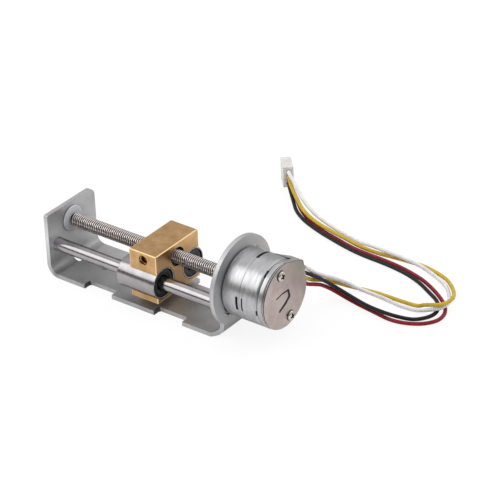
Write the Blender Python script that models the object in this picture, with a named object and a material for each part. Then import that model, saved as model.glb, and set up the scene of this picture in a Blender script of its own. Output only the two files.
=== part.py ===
# Stepper motor linear slide: a bent steel bracket, two guide rods, a lead screw
# turned by a small can-stack motor, and a brass slider block on linear bearings.
# Metres, +Z up. The origin is the centre of the bracket's underside.
# +X runs along the slide towards the motor, +Y towards the side of the leads.
import math

import bmesh
import bpy
from mathutils import Vector

# Bracket
sheet = 0.0010
bracket_width = 0.0158
inner_span = 0.0454
bend_inner_radius = 0.0020
end_plate_height = 0.0149
far_corner_radius = 0.0020
near_corner_radius = 0.0005
notch_centre = 0.00955
notch_length = 0.0075
notch_depth = 0.0020
notch_corner_radius = 0.0007
flange_radius = 0.0100
leg_inset = 0.0010
leg_chamfer = 0.0014
base_hole_radius = 0.0008
base_hole_places = (-0.0138, 0.0106)
bend_slot_length = 0.0022
bend_slot_width = 0.0020
stake_hole_radius = 0.0008
stake_hole_angles = (45, 225)

# Guide rods and lead screw
rod_height = 0.00675
rod_spacing = 0.0100
rod_radius = 0.0015
screw_rise = 0.00405
screw_radius = 0.0015
journal_radius = 0.0008
shaft_radius = 0.0010
pivot_radius = 0.0006
screw_end_gap = 0.0003

# Clearances
running_gap = 0.0001
seat_gap = 0.0001
wire_gap = 0.0002

# Carriage
carriage_centre = 0.00295
block_length = 0.0072
block_width = 0.0145
block_bottom = 0.0025
block_height = 0.01155
block_edge = 0.00025
bearing_length = 0.0100
bearing_radius = 0.0035
shell_wall = 0.0006
seal_thickness = 0.0008
seal_depth = 0.0003
cage_wall = 0.0006
side_hole_radius = 0.0010
side_hole_depth = 0.0040
side_hole_drop = 0.0019

# End bush
bush_flange_radius = 0.0030
bush_flange_thickness = 0.0004
bush_radius = 0.0018

# Motor
motor_radius = 0.0075
cup_wall = 0.0005
cup_length = 0.00445
cup_edge = 0.0006
motor_bush_radius = 0.0024
front_bush_reach = 0.0004
front_bush_length = 0.0031
rear_bush_length = 0.0016
coil_space = 0.0028
tooth_clearance = 0.00015
air_gap = 0.00025
pole_thickness = 0.0004
tooth_length = 0.0028
tooth_count = 5
bobbin_wall = 0.0003
winding_margin = 0.0003
magnet_bore = 0.0019
magnet_length = 0.0060
ring_thickness = 0.0012
ring_bore = 0.0040
cover_thickness = 0.0005
cover_inset = 0.00005
ear_reach = 0.00068
ear_angle = 43.6
ear_tangent_angles = (83, 18)
tongue_root = (-0.00275, -0.0011)
tongue_tip = (0.0012, 0.0002)
tongue_root_half_width = 0.0018
tongue_tip_half_width = 0.0009
tongue_slit = 0.0003
cover_screw_inset = 0.00185
cover_screw_angle = 105
cover_screw_radius = 0.00065
head_radius = 0.00112
head_height = 0.0006
recess_width = 0.0003
recess_depth = 0.0003

# Terminal block and leads
block_front = 0.0296
terminal_root_angle = 62
terminal_crown = 0.0003
terminal_reach = 0.0018
terminal_shoulder = 0.0003
terminal_peak = 0.0034
terminal_upper = 0.0019
terminal_lower = -0.0041
terminal_pitch = 0.00127
terminal_drop = 0.0008
terminal_place = 0.0323
window_half_height = 0.0028
pin_radius = 0.0003
pin_depth = 0.0012
pin_reach = 0.0004
wire_radius = 0.00043
wire_step = 0.0022
housing_depth = 0.0050
housing_thickness = 0.0024
housing_height = 0.0052
housing_lift = 0.0001
housing_centre = (-0.0028, 0.0523)
housing_heading = 133
contact_pitch = 0.00105
contact_first = 0.0010
contact_size = 0.0005
cavity_size = 0.0008
cavity_depth = 0.0018

# Places that follow from the sizes
outer_span = inner_span + 2 * sheet
inner_left = -inner_span / 2
inner_right = inner_span / 2
flange_face = inner_right + sheet
bend_outer_radius = bend_inner_radius + sheet
half_width = bracket_width / 2
rod_offset = rod_spacing / 2
screw_height = rod_height + screw_rise
axis_point = Vector((0, 0, screw_height))
cup_front = flange_face + seat_gap
cup_split = cup_front + cup_length
cup_rear = cup_split + seat_gap + cup_length
ring_front = cup_rear + seat_gap
cover_front = ring_front + ring_thickness + seat_gap
cover_rear = cover_front + cover_thickness
bush_bore = motor_bush_radius + seat_gap
front_bush_start = inner_right - front_bush_reach
front_bush_end = front_bush_start + front_bush_length
rear_bush_start = cup_rear - 0.0010
rear_bush_end = rear_bush_start + rear_bush_length
magnet_start = front_bush_end + screw_end_gap
bobbin_inner_radius = motor_radius - coil_space
pole_inner_radius = bobbin_inner_radius - tooth_clearance - pole_thickness
magnet_radius = pole_inner_radius - air_gap
cover_radius = motor_radius - cover_inset
cover_screw_circle = motor_radius - cover_screw_inset
terminal_face = motor_radius + terminal_reach
block_rear = ring_front - seat_gap
block_right = carriage_centre + block_length / 2
bearing_left = block_right - bearing_length


# Helpers
def clear_scene():
    for item in list(bpy.data.objects):
        bpy.data.objects.remove(item, do_unlink=True)


materials = {}


def material(name, colour, roughness, metallic):
    if name not in materials:
        finish = bpy.data.materials.new(name)
        finish.use_nodes = True
        shader = finish.node_tree.nodes["Principled BSDF"]
        shader.inputs["Base Color"].default_value = (*colour, 1)
        shader.inputs["Roughness"].default_value = roughness
        shader.inputs["Metallic"].default_value = metallic
        materials[name] = finish
    return materials[name]


def zinc():
    return material("zinc_plated_steel", (0.42, 0.42, 0.43), 0.45, 1.0)


def polished_steel():
    return material("polished_steel", (0.72, 0.70, 0.71), 0.15, 1.0)


def screw_steel():
    return material("screw_steel", (0.45, 0.42, 0.40), 0.35, 1.0)


def brass():
    return material("brass", (0.60, 0.41, 0.20), 0.38, 1.0)


def bronze():
    return material("sintered_bronze", (0.45, 0.32, 0.20), 0.60, 1.0)


def motor_can():
    return material("motor_can", (0.60, 0.60, 0.61), 0.32, 1.0)


def nickel():
    return material("nickel_plate", (0.55, 0.50, 0.48), 0.40, 1.0)


def copper():
    return material("copper_wire", (0.62, 0.28, 0.14), 0.35, 1.0)


def black_rubber():
    return material("black_rubber", (0.015, 0.015, 0.017), 0.60, 0.0)


def plastic(name, colour):
    return material(name, colour, 0.50, 0.0)


def link(name, mesh, finish):
    item = bpy.data.objects.new(name, mesh)
    bpy.context.scene.collection.objects.link(item)
    if finish is not None:
        mesh.materials.append(finish)
    return item


def finished_mesh(name, form, smooth=True):
    bmesh.ops.recalc_face_normals(form, faces=form.faces)
    mesh = bpy.data.meshes.new(name)
    form.to_mesh(mesh)
    form.free()
    if smooth:
        mesh.shade_smooth()
        mesh.set_sharp_from_angle(angle=math.radians(35))
    return mesh


def ring_of(form, radius, place, centre, count):
    if radius == 0:
        return [form.verts.new((place, centre[0], centre[1]))]
    ring = []
    for step in range(count):
        turn = 2 * math.pi * step / count
        y = centre[0] + radius * math.cos(turn)
        z = centre[1] + radius * math.sin(turn)
        ring.append(form.verts.new((place, y, z)))
    return ring


def turned(name, profile, centre, finish, count=32):
    """Closed solid turned about an axis along X; profile is a loop of (place, radius)."""
    form = bmesh.new()
    rings = [ring_of(form, radius, place, centre, count) for place, radius in profile]
    for index, ring in enumerate(rings):
        following = rings[(index + 1) % len(rings)]
        if len(ring) == 1 and len(following) == 1:
            continue
        for step in range(count):
            after = (step + 1) % count
            if len(ring) == 1:
                form.faces.new((ring[0], following[step], following[after]))
            elif len(following) == 1:
                form.faces.new((ring[step], ring[after], following[0]))
            else:
                form.faces.new((ring[step], ring[after], following[after], following[step]))
    return link(name, finished_mesh(name, form), finish)


def tube(name, start, end, inner, outer, centre, finish, count=32, edge=0.0):
    profile = [(start, inner), (start, outer - edge)]
    if edge:
        profile.append((start + edge, outer))
        profile.append((end - edge, outer))
    profile.append((end, outer - edge))
    profile.append((end, inner))
    return turned(name, profile, centre, finish, count)


def rod(name, start, end, radius, centre, finish, count=24, edge=0.0):
    profile = [(start, 0), (start, radius - edge)]
    if edge:
        profile.append((start + edge, radius))
        profile.append((end - edge, radius))
    profile.append((end, radius - edge))
    profile.append((end, 0))
    return turned(name, profile, centre, finish, count)


def prism(name, outline, low, high, plane, finish):
    """Outline extruded between two levels; plane names the outline's two axes."""
    form = bmesh.new()
    level_axis = ({"X", "Y", "Z"} - set(plane)).pop()
    order = {plane[0]: 0, plane[1]: 1, level_axis: 2}

    def place(point, level):
        values = (point[0], point[1], level)
        return Vector([values[order[axis]] for axis in "XYZ"])

    bottom = [form.verts.new(place(point, low)) for point in outline]
    top = [form.verts.new(place(point, high)) for point in outline]
    form.faces.new(bottom)
    form.faces.new(top)
    for index in range(len(outline)):
        after = (index + 1) % len(outline)
        form.faces.new((bottom[index], bottom[after], top[after], top[index]))
    return link(name, finished_mesh(name, form), finish)


def box(name, low, high, finish):
    outline = [(low[0], low[1]), (high[0], low[1]), (high[0], high[1]), (low[0], high[1])]
    return prism(name, outline, low[2], high[2], "XY", finish)


def arc(centre, radius, start, end, count):
    points = []
    for step in range(count + 1):
        turn = math.radians(start + (end - start) * step / count)
        points.append((centre[0] + radius * math.cos(turn), centre[1] + radius * math.sin(turn)))
    return points


def combine(item, other, operation):
    other.hide_render = True
    other.display_type = "WIRE"
    step = item.modifiers.new(other.name, "BOOLEAN")
    step.operation = operation
    step.solver = "EXACT"
    step.object = other


def cut(item, other):
    combine(item, other, "DIFFERENCE")


def join(item, other):
    combine(item, other, "UNION")


def apply_modifiers(item):
    bpy.context.view_layer.update()
    graph = bpy.context.evaluated_depsgraph_get()
    mesh = bpy.data.meshes.new_from_object(item.evaluated_get(graph))
    item.modifiers.clear()
    item.data = mesh


def soften(item, width, segments=1):
    step = item.modifiers.new("edge", "BEVEL")
    step.width = width
    step.segments = segments
    step.limit_method = "ANGLE"
    step.angle_limit = math.radians(40)


# Bracket
def strip_outline():
    """Side view of the bent strip, without its thickness in Y."""
    left = inner_left - sheet
    right = inner_right + sheet
    outer_left = (left + bend_outer_radius, bend_outer_radius)
    outer_right = (right - bend_outer_radius, bend_outer_radius)
    points = [(left, end_plate_height)]
    points += arc(outer_left, bend_outer_radius, 180, 270, 8)
    points += arc(outer_right, bend_outer_radius, 270, 360, 8)
    points.append((right, screw_height))
    points.append((inner_right, screw_height))
    points += arc(outer_right, bend_inner_radius, 360, 270, 8)
    points += arc(outer_left, bend_inner_radius, 270, 180, 8)
    points.append((inner_left, end_plate_height))
    return points


def notch_outline(centre, side):
    """Top view of one notch in the base's edge; side is -1 near, +1 far."""
    reach = half_width + sheet
    inner = half_width - notch_depth
    corner = inner + notch_corner_radius
    low = centre - notch_length / 2
    high = centre + notch_length / 2
    points = [(low, side * reach), (low, side * corner)]
    left = arc((low + notch_corner_radius, corner), notch_corner_radius, 180, 270, 4)
    right = arc((high - notch_corner_radius, corner), notch_corner_radius, 270, 360, 4)
    points += [(x, side * y) for x, y in left[1:]]
    points += [(x, side * y) for x, y in right]
    points.append((high, side * reach))
    return points


def plate_corner_outline(side, radius):
    """End view of what is cut from one top corner of the end plate."""
    middle = (half_width - radius, end_plate_height - radius)
    points = [(side * y, z) for y, z in arc(middle, radius, 0, 90, 5)]
    points.append((side * middle[0], end_plate_height + sheet))
    points.append((side * (half_width + sheet), end_plate_height + sheet))
    points.append((side * (half_width + sheet), middle[1]))
    return points


def leg_side_outline(side):
    """Top view of what is cut beside the flange's leg."""
    start = flange_face - bend_outer_radius
    inner = half_width - leg_inset
    reach = half_width + sheet
    points = [(start, reach), (start, half_width), (start + leg_chamfer, inner)]
    points += [(flange_face + sheet, inner), (flange_face + sheet, reach)]
    return [(x, side * y) for x, y in points]


def bracket():
    frame = prism("bracket", strip_outline(), -half_width, half_width, "XZ", zinc())
    tall = end_plate_height + 2 * sheet
    for side in (-1, 1):
        for centre in (-notch_centre, notch_centre):
            cut(frame, prism("notch", notch_outline(centre, side), -sheet, 2 * sheet, "XY", None))
        cut(frame, prism("leg_side", leg_side_outline(side), -sheet, tall, "XY", None))
    for side, radius in ((1, far_corner_radius), (-1, near_corner_radius)):
        outline = plate_corner_outline(side, radius)
        cut(frame, prism("corner", outline, inner_left - 2 * sheet, inner_left + sheet, "YZ", None))
    centre = (0, screw_height)
    dip = math.degrees(math.asin((screw_height - bend_outer_radius) / flange_radius))
    outline = arc(centre, flange_radius, -dip, 180 + dip, 56)
    join(frame, prism("flange", outline, inner_right, flange_face, "YZ", None))
    for offset in (-rod_offset, rod_offset):
        start = inner_left - 2 * sheet
        end = flange_face + sheet
        radius = rod_radius + seat_gap
        cut(frame, rod("rod_holes", start, end, radius, (offset, rod_height), None, 24))
    start = inner_left - 2 * sheet
    cut(frame, rod("bush_hole", start, inner_left + sheet, bush_radius + seat_gap, centre, None, 24))
    start = inner_right - sheet
    cut(frame, rod("motor_hole", start, flange_face + sheet, bush_bore, centre, None, 24))
    for angle in stake_hole_angles:
        turn = math.radians(angle)
        reach = motor_radius - stake_hole_radius / 2
        spot = (reach * math.cos(turn), screw_height + reach * math.sin(turn))
        cut(frame, rod("stake_hole", start, flange_face + sheet, stake_hole_radius, spot, None, 16))
    for place in base_hole_places:
        outline = arc((place, 0), base_hole_radius, 0, 337.5, 15)
        cut(frame, prism("base_hole", outline, -sheet, 2 * sheet, "XY", None))
    low = (inner_left - 2 * sheet, -bend_slot_width / 2, -sheet)
    high = (inner_left + bend_slot_length, bend_slot_width / 2, 2 * sheet)
    cut(frame, box("bend_slot", low, high, None))
    apply_modifiers(frame)


def guide_rods():
    start = inner_left - sheet + seat_gap
    end = flange_face - seat_gap
    for name, offset in (("guide_rod_near", -rod_offset), ("guide_rod_far", rod_offset)):
        rod(name, start, end, rod_radius, (offset, rod_height), polished_steel(), 24, seat_gap)


def end_bush():
    start = inner_left - sheet
    seat = inner_left + seat_gap
    end = seat + bush_flange_thickness
    bore = journal_radius + running_gap
    edge = bush_flange_thickness / 2
    profile = [(start, bore), (start, bush_radius), (seat, bush_radius), (seat, bush_flange_radius)]
    profile += [(end - edge, bush_flange_radius), (end, bush_flange_radius - edge), (end, bore)]
    turned("end_bush", profile, (0, screw_height), zinc(), 24)


# Lead screw and rotor
def lead_screw():
    thread_start = inner_left + seat_gap + bush_flange_thickness + screw_end_gap
    thread_end = front_bush_start - screw_end_gap
    shaft_end = rear_bush_start - running_gap
    pivot_end = cover_front - running_gap
    edge = 0.0003
    profile = [
        (inner_left - sheet, 0),
        (inner_left - sheet, journal_radius),
        (thread_start, journal_radius),
        (thread_start, screw_radius - edge),
        (thread_start + edge, screw_radius),
        (thread_end - edge, screw_radius),
        (thread_end, screw_radius - edge),
        (thread_end, shaft_radius),
        (shaft_end, shaft_radius),
        (shaft_end, pivot_radius),
        (pivot_end - pivot_radius / 2, pivot_radius),
        (pivot_end, pivot_radius / 2),
        (pivot_end, 0),
    ]
    screw = turned("lead_screw", profile, (0, 0), screw_steel(), 24)
    screw.location = axis_point


def rotor():
    end = magnet_start + magnet_length
    inner = shaft_radius + seat_gap
    centre = (0, screw_height)
    dark = plastic("dark_plastic", (0.03, 0.03, 0.03))
    tube("rotor_hub", magnet_start, end, inner, magnet_bore - seat_gap, centre, dark, 24)
    ferrite = material("ferrite", (0.08, 0.08, 0.085), 0.5, 0.3)
    tube("rotor_magnet", magnet_start, end, magnet_bore, magnet_radius, centre, ferrite, 24, 0.0002)


# Motor
def cup(name, closed_end, open_end, bore):
    """One stator cup; its closed end carries a bush."""
    towards = 1 if open_end > closed_end else -1
    wall = closed_end + towards * cup_wall
    inner = motor_radius - cup_wall
    profile = [
        (closed_end, bore),
        (closed_end, motor_radius - cup_edge),
        (closed_end + towards * cup_edge * 0.3, motor_radius - cup_edge * 0.3),
        (closed_end + towards * cup_edge, motor_radius),
        (open_end, motor_radius),
        (open_end, inner),
        (wall, inner),
        (wall, bore),
    ]
    return turned(name, profile, (0, screw_height), motor_can(), 48)


def motor_cups():
    cup("motor_front_cup", cup_front, cup_split, bush_bore)
    rear = cup("motor_rear_cup", cup_rear, cup_split + seat_gap, bush_bore)
    centre = screw_height - terminal_drop
    low = (block_front, 0, centre - window_half_height)
    high = (cup_rear - 2 * cup_wall, 2 * motor_radius, centre + window_half_height)
    cut(rear, box("lead_window", low, high, None))
    apply_modifiers(rear)


def motor_bushes():
    centre = (0, screw_height)
    bore = shaft_radius + running_gap
    tube("front_bush", front_bush_start, front_bush_end, bore, motor_bush_radius, centre, bronze(), 24)
    bore = pivot_radius + running_gap
    tube("rear_bush", rear_bush_start, rear_bush_end, bore, motor_bush_radius, centre, bronze(), 24)


def pole_plate(name, face, towards, first_step):
    """Pole plate: a washer whose teeth reach along the rotor from its inner edge."""
    steps = tooth_count * 6
    outer = motor_radius - cup_wall - seat_gap
    radii = (pole_inner_radius, pole_inner_radius + pole_thickness, outer)
    form = bmesh.new()
    sides = []
    for place in (face, face + towards * pole_thickness):
        sides.append([ring_of(form, radius, place, (0, screw_height), steps) for radius in radii])
    teeth = []
    for side in sides:
        for inner, outside in zip(side, side[1:]):
            for step in range(steps):
                after = (step + 1) % steps
                quad = form.faces.new((inner[step], inner[after], outside[after], outside[step]))
                root = inner is side[0] and side is sides[1]
                if root and (step + first_step) % 6 < 2:
                    teeth.append(quad)
    for index in (0, 2):
        first = sides[0][index]
        second = sides[1][index]
        for step in range(steps):
            after = (step + 1) % steps
            form.faces.new((first[step], first[after], second[after], second[step]))
    bmesh.ops.recalc_face_normals(form, faces=form.faces)
    grown = bmesh.ops.extrude_face_region(form, geom=teeth)
    bmesh.ops.delete(form, geom=teeth, context="FACES_ONLY")
    moved = [item for item in grown["geom"] if isinstance(item, bmesh.types.BMVert)]
    shift = Vector((towards * tooth_length, 0, 0))
    bmesh.ops.translate(form, verts=moved, vec=shift)
    link(name, finished_mesh(name, form, smooth=False), zinc())


def coil(prefix, low, high):
    """Spool and its winding between two pole plates."""
    outer = motor_radius - cup_wall - seat_gap
    floor = bobbin_inner_radius + bobbin_wall
    centre = (0, screw_height)
    spool = [
        (low, bobbin_inner_radius),
        (low, outer),
        (low + bobbin_wall, outer),
        (low + bobbin_wall, floor),
        (high - bobbin_wall, floor),
        (high - bobbin_wall, outer),
        (high, outer),
        (high, bobbin_inner_radius),
    ]
    white = plastic("bobbin_plastic", (0.55, 0.53, 0.48))
    turned(prefix + "_bobbin", spool, centre, white, 24)
    start = low + bobbin_wall + seat_gap
    end = high - bobbin_wall - seat_gap
    base = floor + seat_gap
    rim = outer - winding_margin
    tube(prefix + "_winding", start, end, base, rim, centre, copper(), 24, 0.0002)


def stators():
    thick = pole_thickness
    front_outer = cup_front + cup_wall + seat_gap
    front_inner = cup_split - seat_gap
    rear_inner = cup_split + 2 * seat_gap
    rear_outer = cup_rear - cup_wall - seat_gap
    pole_plate("front_outer_pole", front_outer, 1, 0)
    pole_plate("front_inner_pole", front_inner, -1, 3)
    pole_plate("rear_inner_pole", rear_inner, 1, 1)
    pole_plate("rear_outer_pole", rear_outer, -1, 4)
    coil("front", front_outer + thick + seat_gap, front_inner - thick - seat_gap)
    coil("rear", rear_inner + thick + seat_gap, rear_outer - thick - seat_gap)


def eared_outline(radius, corner_gap):
    """End view of a disc with one squared corner over the terminals."""
    upper, lower = ear_tangent_angles
    points = arc((0, screw_height), radius, upper, 360 + lower, 52)
    reach = motor_radius + ear_reach - corner_gap
    turn = math.radians(ear_angle)
    points.append((reach * math.cos(turn), screw_height + reach * math.sin(turn)))
    return points


def screw_spots():
    for name, angle in (("upper", cover_screw_angle), ("lower", cover_screw_angle + 180)):
        turn = math.radians(angle)
        y = cover_screw_circle * math.cos(turn)
        z = screw_height + cover_screw_circle * math.sin(turn)
        yield name, (y, z)


def rear_ring():
    end = ring_front + ring_thickness
    outline = eared_outline(motor_radius, 0.0001)
    ring = prism("rear_end_ring", outline, ring_front, end, "YZ", motor_can())
    low = ring_front - sheet
    high = end + sheet
    cut(ring, rod("ring_bore", low, high, ring_bore, (0, screw_height), None, 32))
    for name, spot in screw_spots():
        cut(ring, rod("ring_hole", low, high, cover_screw_radius + seat_gap, spot, None, 16))
    apply_modifiers(ring)


def tongue_slit_outline():
    """U-shaped slit in the rear cover: outer edge there, inner edge back."""
    root = Vector(tongue_root)
    tip = Vector(tongue_tip)
    along = (tip - root).normalized()
    across = Vector((-along.y, along.x))
    wide = across * tongue_root_half_width
    slim = across * tongue_tip_half_width
    grow = across * tongue_slit
    outer = [root + wide + grow, tip + slim + grow, tip + along * tongue_slit * 2]
    outer += [tip - slim - grow, root - wide - grow]
    inner = [root - wide, tip - slim, tip + along * tongue_slit, tip + slim, root + wide]
    return [(point.x, screw_height + point.y) for point in outer + inner]


def rear_cover():
    outline = eared_outline(cover_radius, 0)
    cover = prism("rear_cover", outline, cover_front, cover_rear, "YZ", nickel())
    low = cover_front - sheet
    high = cover_rear + sheet
    cut(cover, prism("tongue_slit", tongue_slit_outline(), low, high, "YZ", None))
    for name, spot in screw_spots():
        cut(cover, rod("cover_hole", low, high, cover_screw_radius + seat_gap, spot, None, 16))
    apply_modifiers(cover)


def cover_screws():
    seat = cover_rear + seat_gap
    top = seat + head_height
    for name, spot in screw_spots():
        profile = [
            (ring_front, 0),
            (ring_front, cover_screw_radius - seat_gap),
            (ring_front + seat_gap, cover_screw_radius),
            (seat, cover_screw_radius),
            (seat, head_radius),
            (seat + head_height * 0.4, head_radius * 0.97),
            (seat + head_height * 0.8, head_radius * 0.75),
            (top, head_radius * 0.4),
            (top, 0),
        ]
        screw = turned("cover_screw_" + name, profile, spot, polished_steel(), 20)
        arm = head_radius * 0.55
        half = recess_width / 2
        y, z = spot
        cross = [(half, half), (half, arm), (-half, arm), (-half, half), (-arm, half), (-arm, -half)]
        cross += [(-half, -half), (-half, -arm), (half, -arm), (half, -half), (arm, -half), (arm, half)]
        turn = math.radians(20)
        cosine = math.cos(turn)
        sine = math.sin(turn)
        outline = [(y + a * cosine - b * sine, z + a * sine + b * cosine) for a, b in cross]
        cut(screw, prism("recess", outline, top - recess_depth, top + sheet, "YZ", None))
        apply_modifiers(screw)


# Carriage
def slider_block():
    low = (block_right - block_length, -block_width / 2, block_bottom)
    high = (block_right, block_width / 2, block_bottom + block_height)
    block = box("slider_block", low, high, brass())
    soften(block, block_edge)
    start = low[0] - sheet
    end = high[0] + sheet
    for offset in (-rod_offset, rod_offset):
        radius = bearing_radius + seat_gap
        cut(block, rod("bearing_bore", start, end, radius, (offset, rod_height), None, 32))
    radius = screw_radius + running_gap
    cut(block, rod("nut_bore", start, end, radius, (0, screw_height), None, 24))
    hole_height = high[2] - side_hole_drop
    for side in (-1, 1):
        depth = block_width / 2 - side_hole_depth
        outline = arc((carriage_centre, hole_height), side_hole_radius, 0, 337.5, 15)
        levels = sorted((side * depth, side * (block_width / 2 + sheet)))
        cut(block, prism("side_hole", outline, levels[0], levels[1], "XZ", None))
    apply_modifiers(block)


def linear_bearing(prefix, offset):
    centre = (offset, rod_height)
    end = bearing_left + bearing_length
    bore = bearing_radius - shell_wall
    rod_bore = rod_radius + running_gap
    name = prefix + "_bearing_shell"
    tube(name, bearing_left, end, bore, bearing_radius, centre, polished_steel(), 32, 0.0002)
    seal_radius = bore - seat_gap
    spots = {"left": bearing_left + seal_depth, "right": end - seal_depth - seal_thickness}
    for side, start in spots.items():
        name = prefix + "_seal_" + side
        tube(name, start, start + seal_thickness, rod_bore, seal_radius, centre, black_rubber(), 24)
    start = spots["left"] + seal_thickness + seat_gap
    stop = spots["right"] - seat_gap
    inner = seal_radius - cage_wall
    amber = plastic("cage_plastic", (0.35, 0.30, 0.20))
    tube(prefix + "_ball_cage", start, stop, inner, seal_radius, centre, amber, 24)


# Terminal block, leads and plug
def terminal_heights():
    middle = screw_height - terminal_drop
    return [middle + terminal_pitch * step for step in (1.5, 0.5, -0.5, -1.5)]


def terminal_block():
    inner = motor_radius + seat_gap
    start = math.degrees(math.asin(terminal_lower / inner))
    points = arc((0, 0), inner, start, terminal_root_angle, 18)
    crown = motor_radius + terminal_crown
    turn = math.radians(ear_angle)
    points.append((crown * math.cos(turn), crown * math.sin(turn)))
    points.append((terminal_face - terminal_shoulder, terminal_peak))
    points.append((terminal_face, terminal_upper))
    points.append((terminal_face, terminal_lower))
    outline = [(y, screw_height + z) for y, z in points]
    green = plastic("terminal_plastic", (0.05, 0.075, 0.05))
    block = prism("terminal_block", outline, block_front, block_rear, "YZ", green)
    middle = screw_height - terminal_drop
    neck_half = window_half_height - seat_gap
    bobbin_edge = motor_radius - cup_wall
    low = (block_front + seat_gap, bobbin_edge, middle - neck_half)
    high = (cup_rear - 2 * cup_wall - seat_gap, terminal_face - pin_depth, middle + neck_half)
    join(block, box("neck", low, high, None))
    for height in terminal_heights():
        outline = arc((terminal_place, height), pin_radius + seat_gap, 0, 315, 7)
        low_level = terminal_face - pin_depth
        cut(block, prism("pin_hole", outline, low_level, terminal_face + sheet, "XZ", None))
    apply_modifiers(block)
    tinned = material("tinned_pin", (0.62, 0.60, 0.56), 0.3, 1.0)
    for index, height in enumerate(terminal_heights(), 1):
        outline = arc((terminal_place, height), pin_radius, 0, 315, 7)
        start = terminal_face - pin_depth + seat_gap
        prism("terminal_pin_%d" % index, outline, start, terminal_face + pin_reach, "XZ", tinned)


def smooth_route(route, spacing):
    """Points read at an even spacing from a smooth curve through the route's points."""
    points = [Vector(point) for point in route]
    padded = [2 * points[0] - points[1]] + points + [2 * points[-1] - points[-2]]
    fine = []
    for index in range(1, len(padded) - 2):
        before, start, end, after = padded[index - 1:index + 3]
        for step in range(40):
            t = step / 40
            part = 2 * start + (end - before) * t
            part += (2 * before - 5 * start + 4 * end - after) * t ** 2
            part += (3 * start - before - 3 * end + after) * t ** 3
            fine.append(part / 2)
    fine.append(points[-1])
    lengths = [0.0]
    for first, second in zip(fine, fine[1:]):
        lengths.append(lengths[-1] + (second - first).length)
    count = round(lengths[-1] / spacing)
    even = []
    place = 0
    for step in range(count + 1):
        wanted = lengths[-1] * step / count
        while place < len(fine) - 2 and lengths[place + 1] < wanted:
            place += 1
        share = (wanted - lengths[place]) / (lengths[place + 1] - lengths[place])
        even.append(fine[place].lerp(fine[place + 1], share))
    return even


def wire(name, route, colour):
    """Lead as a round tube along a smooth curve; the route is in millimetres."""
    points = smooth_route([Vector(point) * 0.001 for point in route], wire_step)
    curve = bpy.data.curves.new(name, "CURVE")
    curve.dimensions = "3D"
    curve.bevel_depth = wire_radius
    curve.bevel_resolution = 2
    curve.use_fill_caps = True
    line = curve.splines.new("POLY")
    line.points.add(len(points) - 1)
    for spot, point in zip(line.points, points):
        spot.co = (*point, 1)
    curve.materials.append(plastic(name + "_sheath", colour))
    item = bpy.data.objects.new(name, curve)
    bpy.context.scene.collection.objects.link(item)


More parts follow.
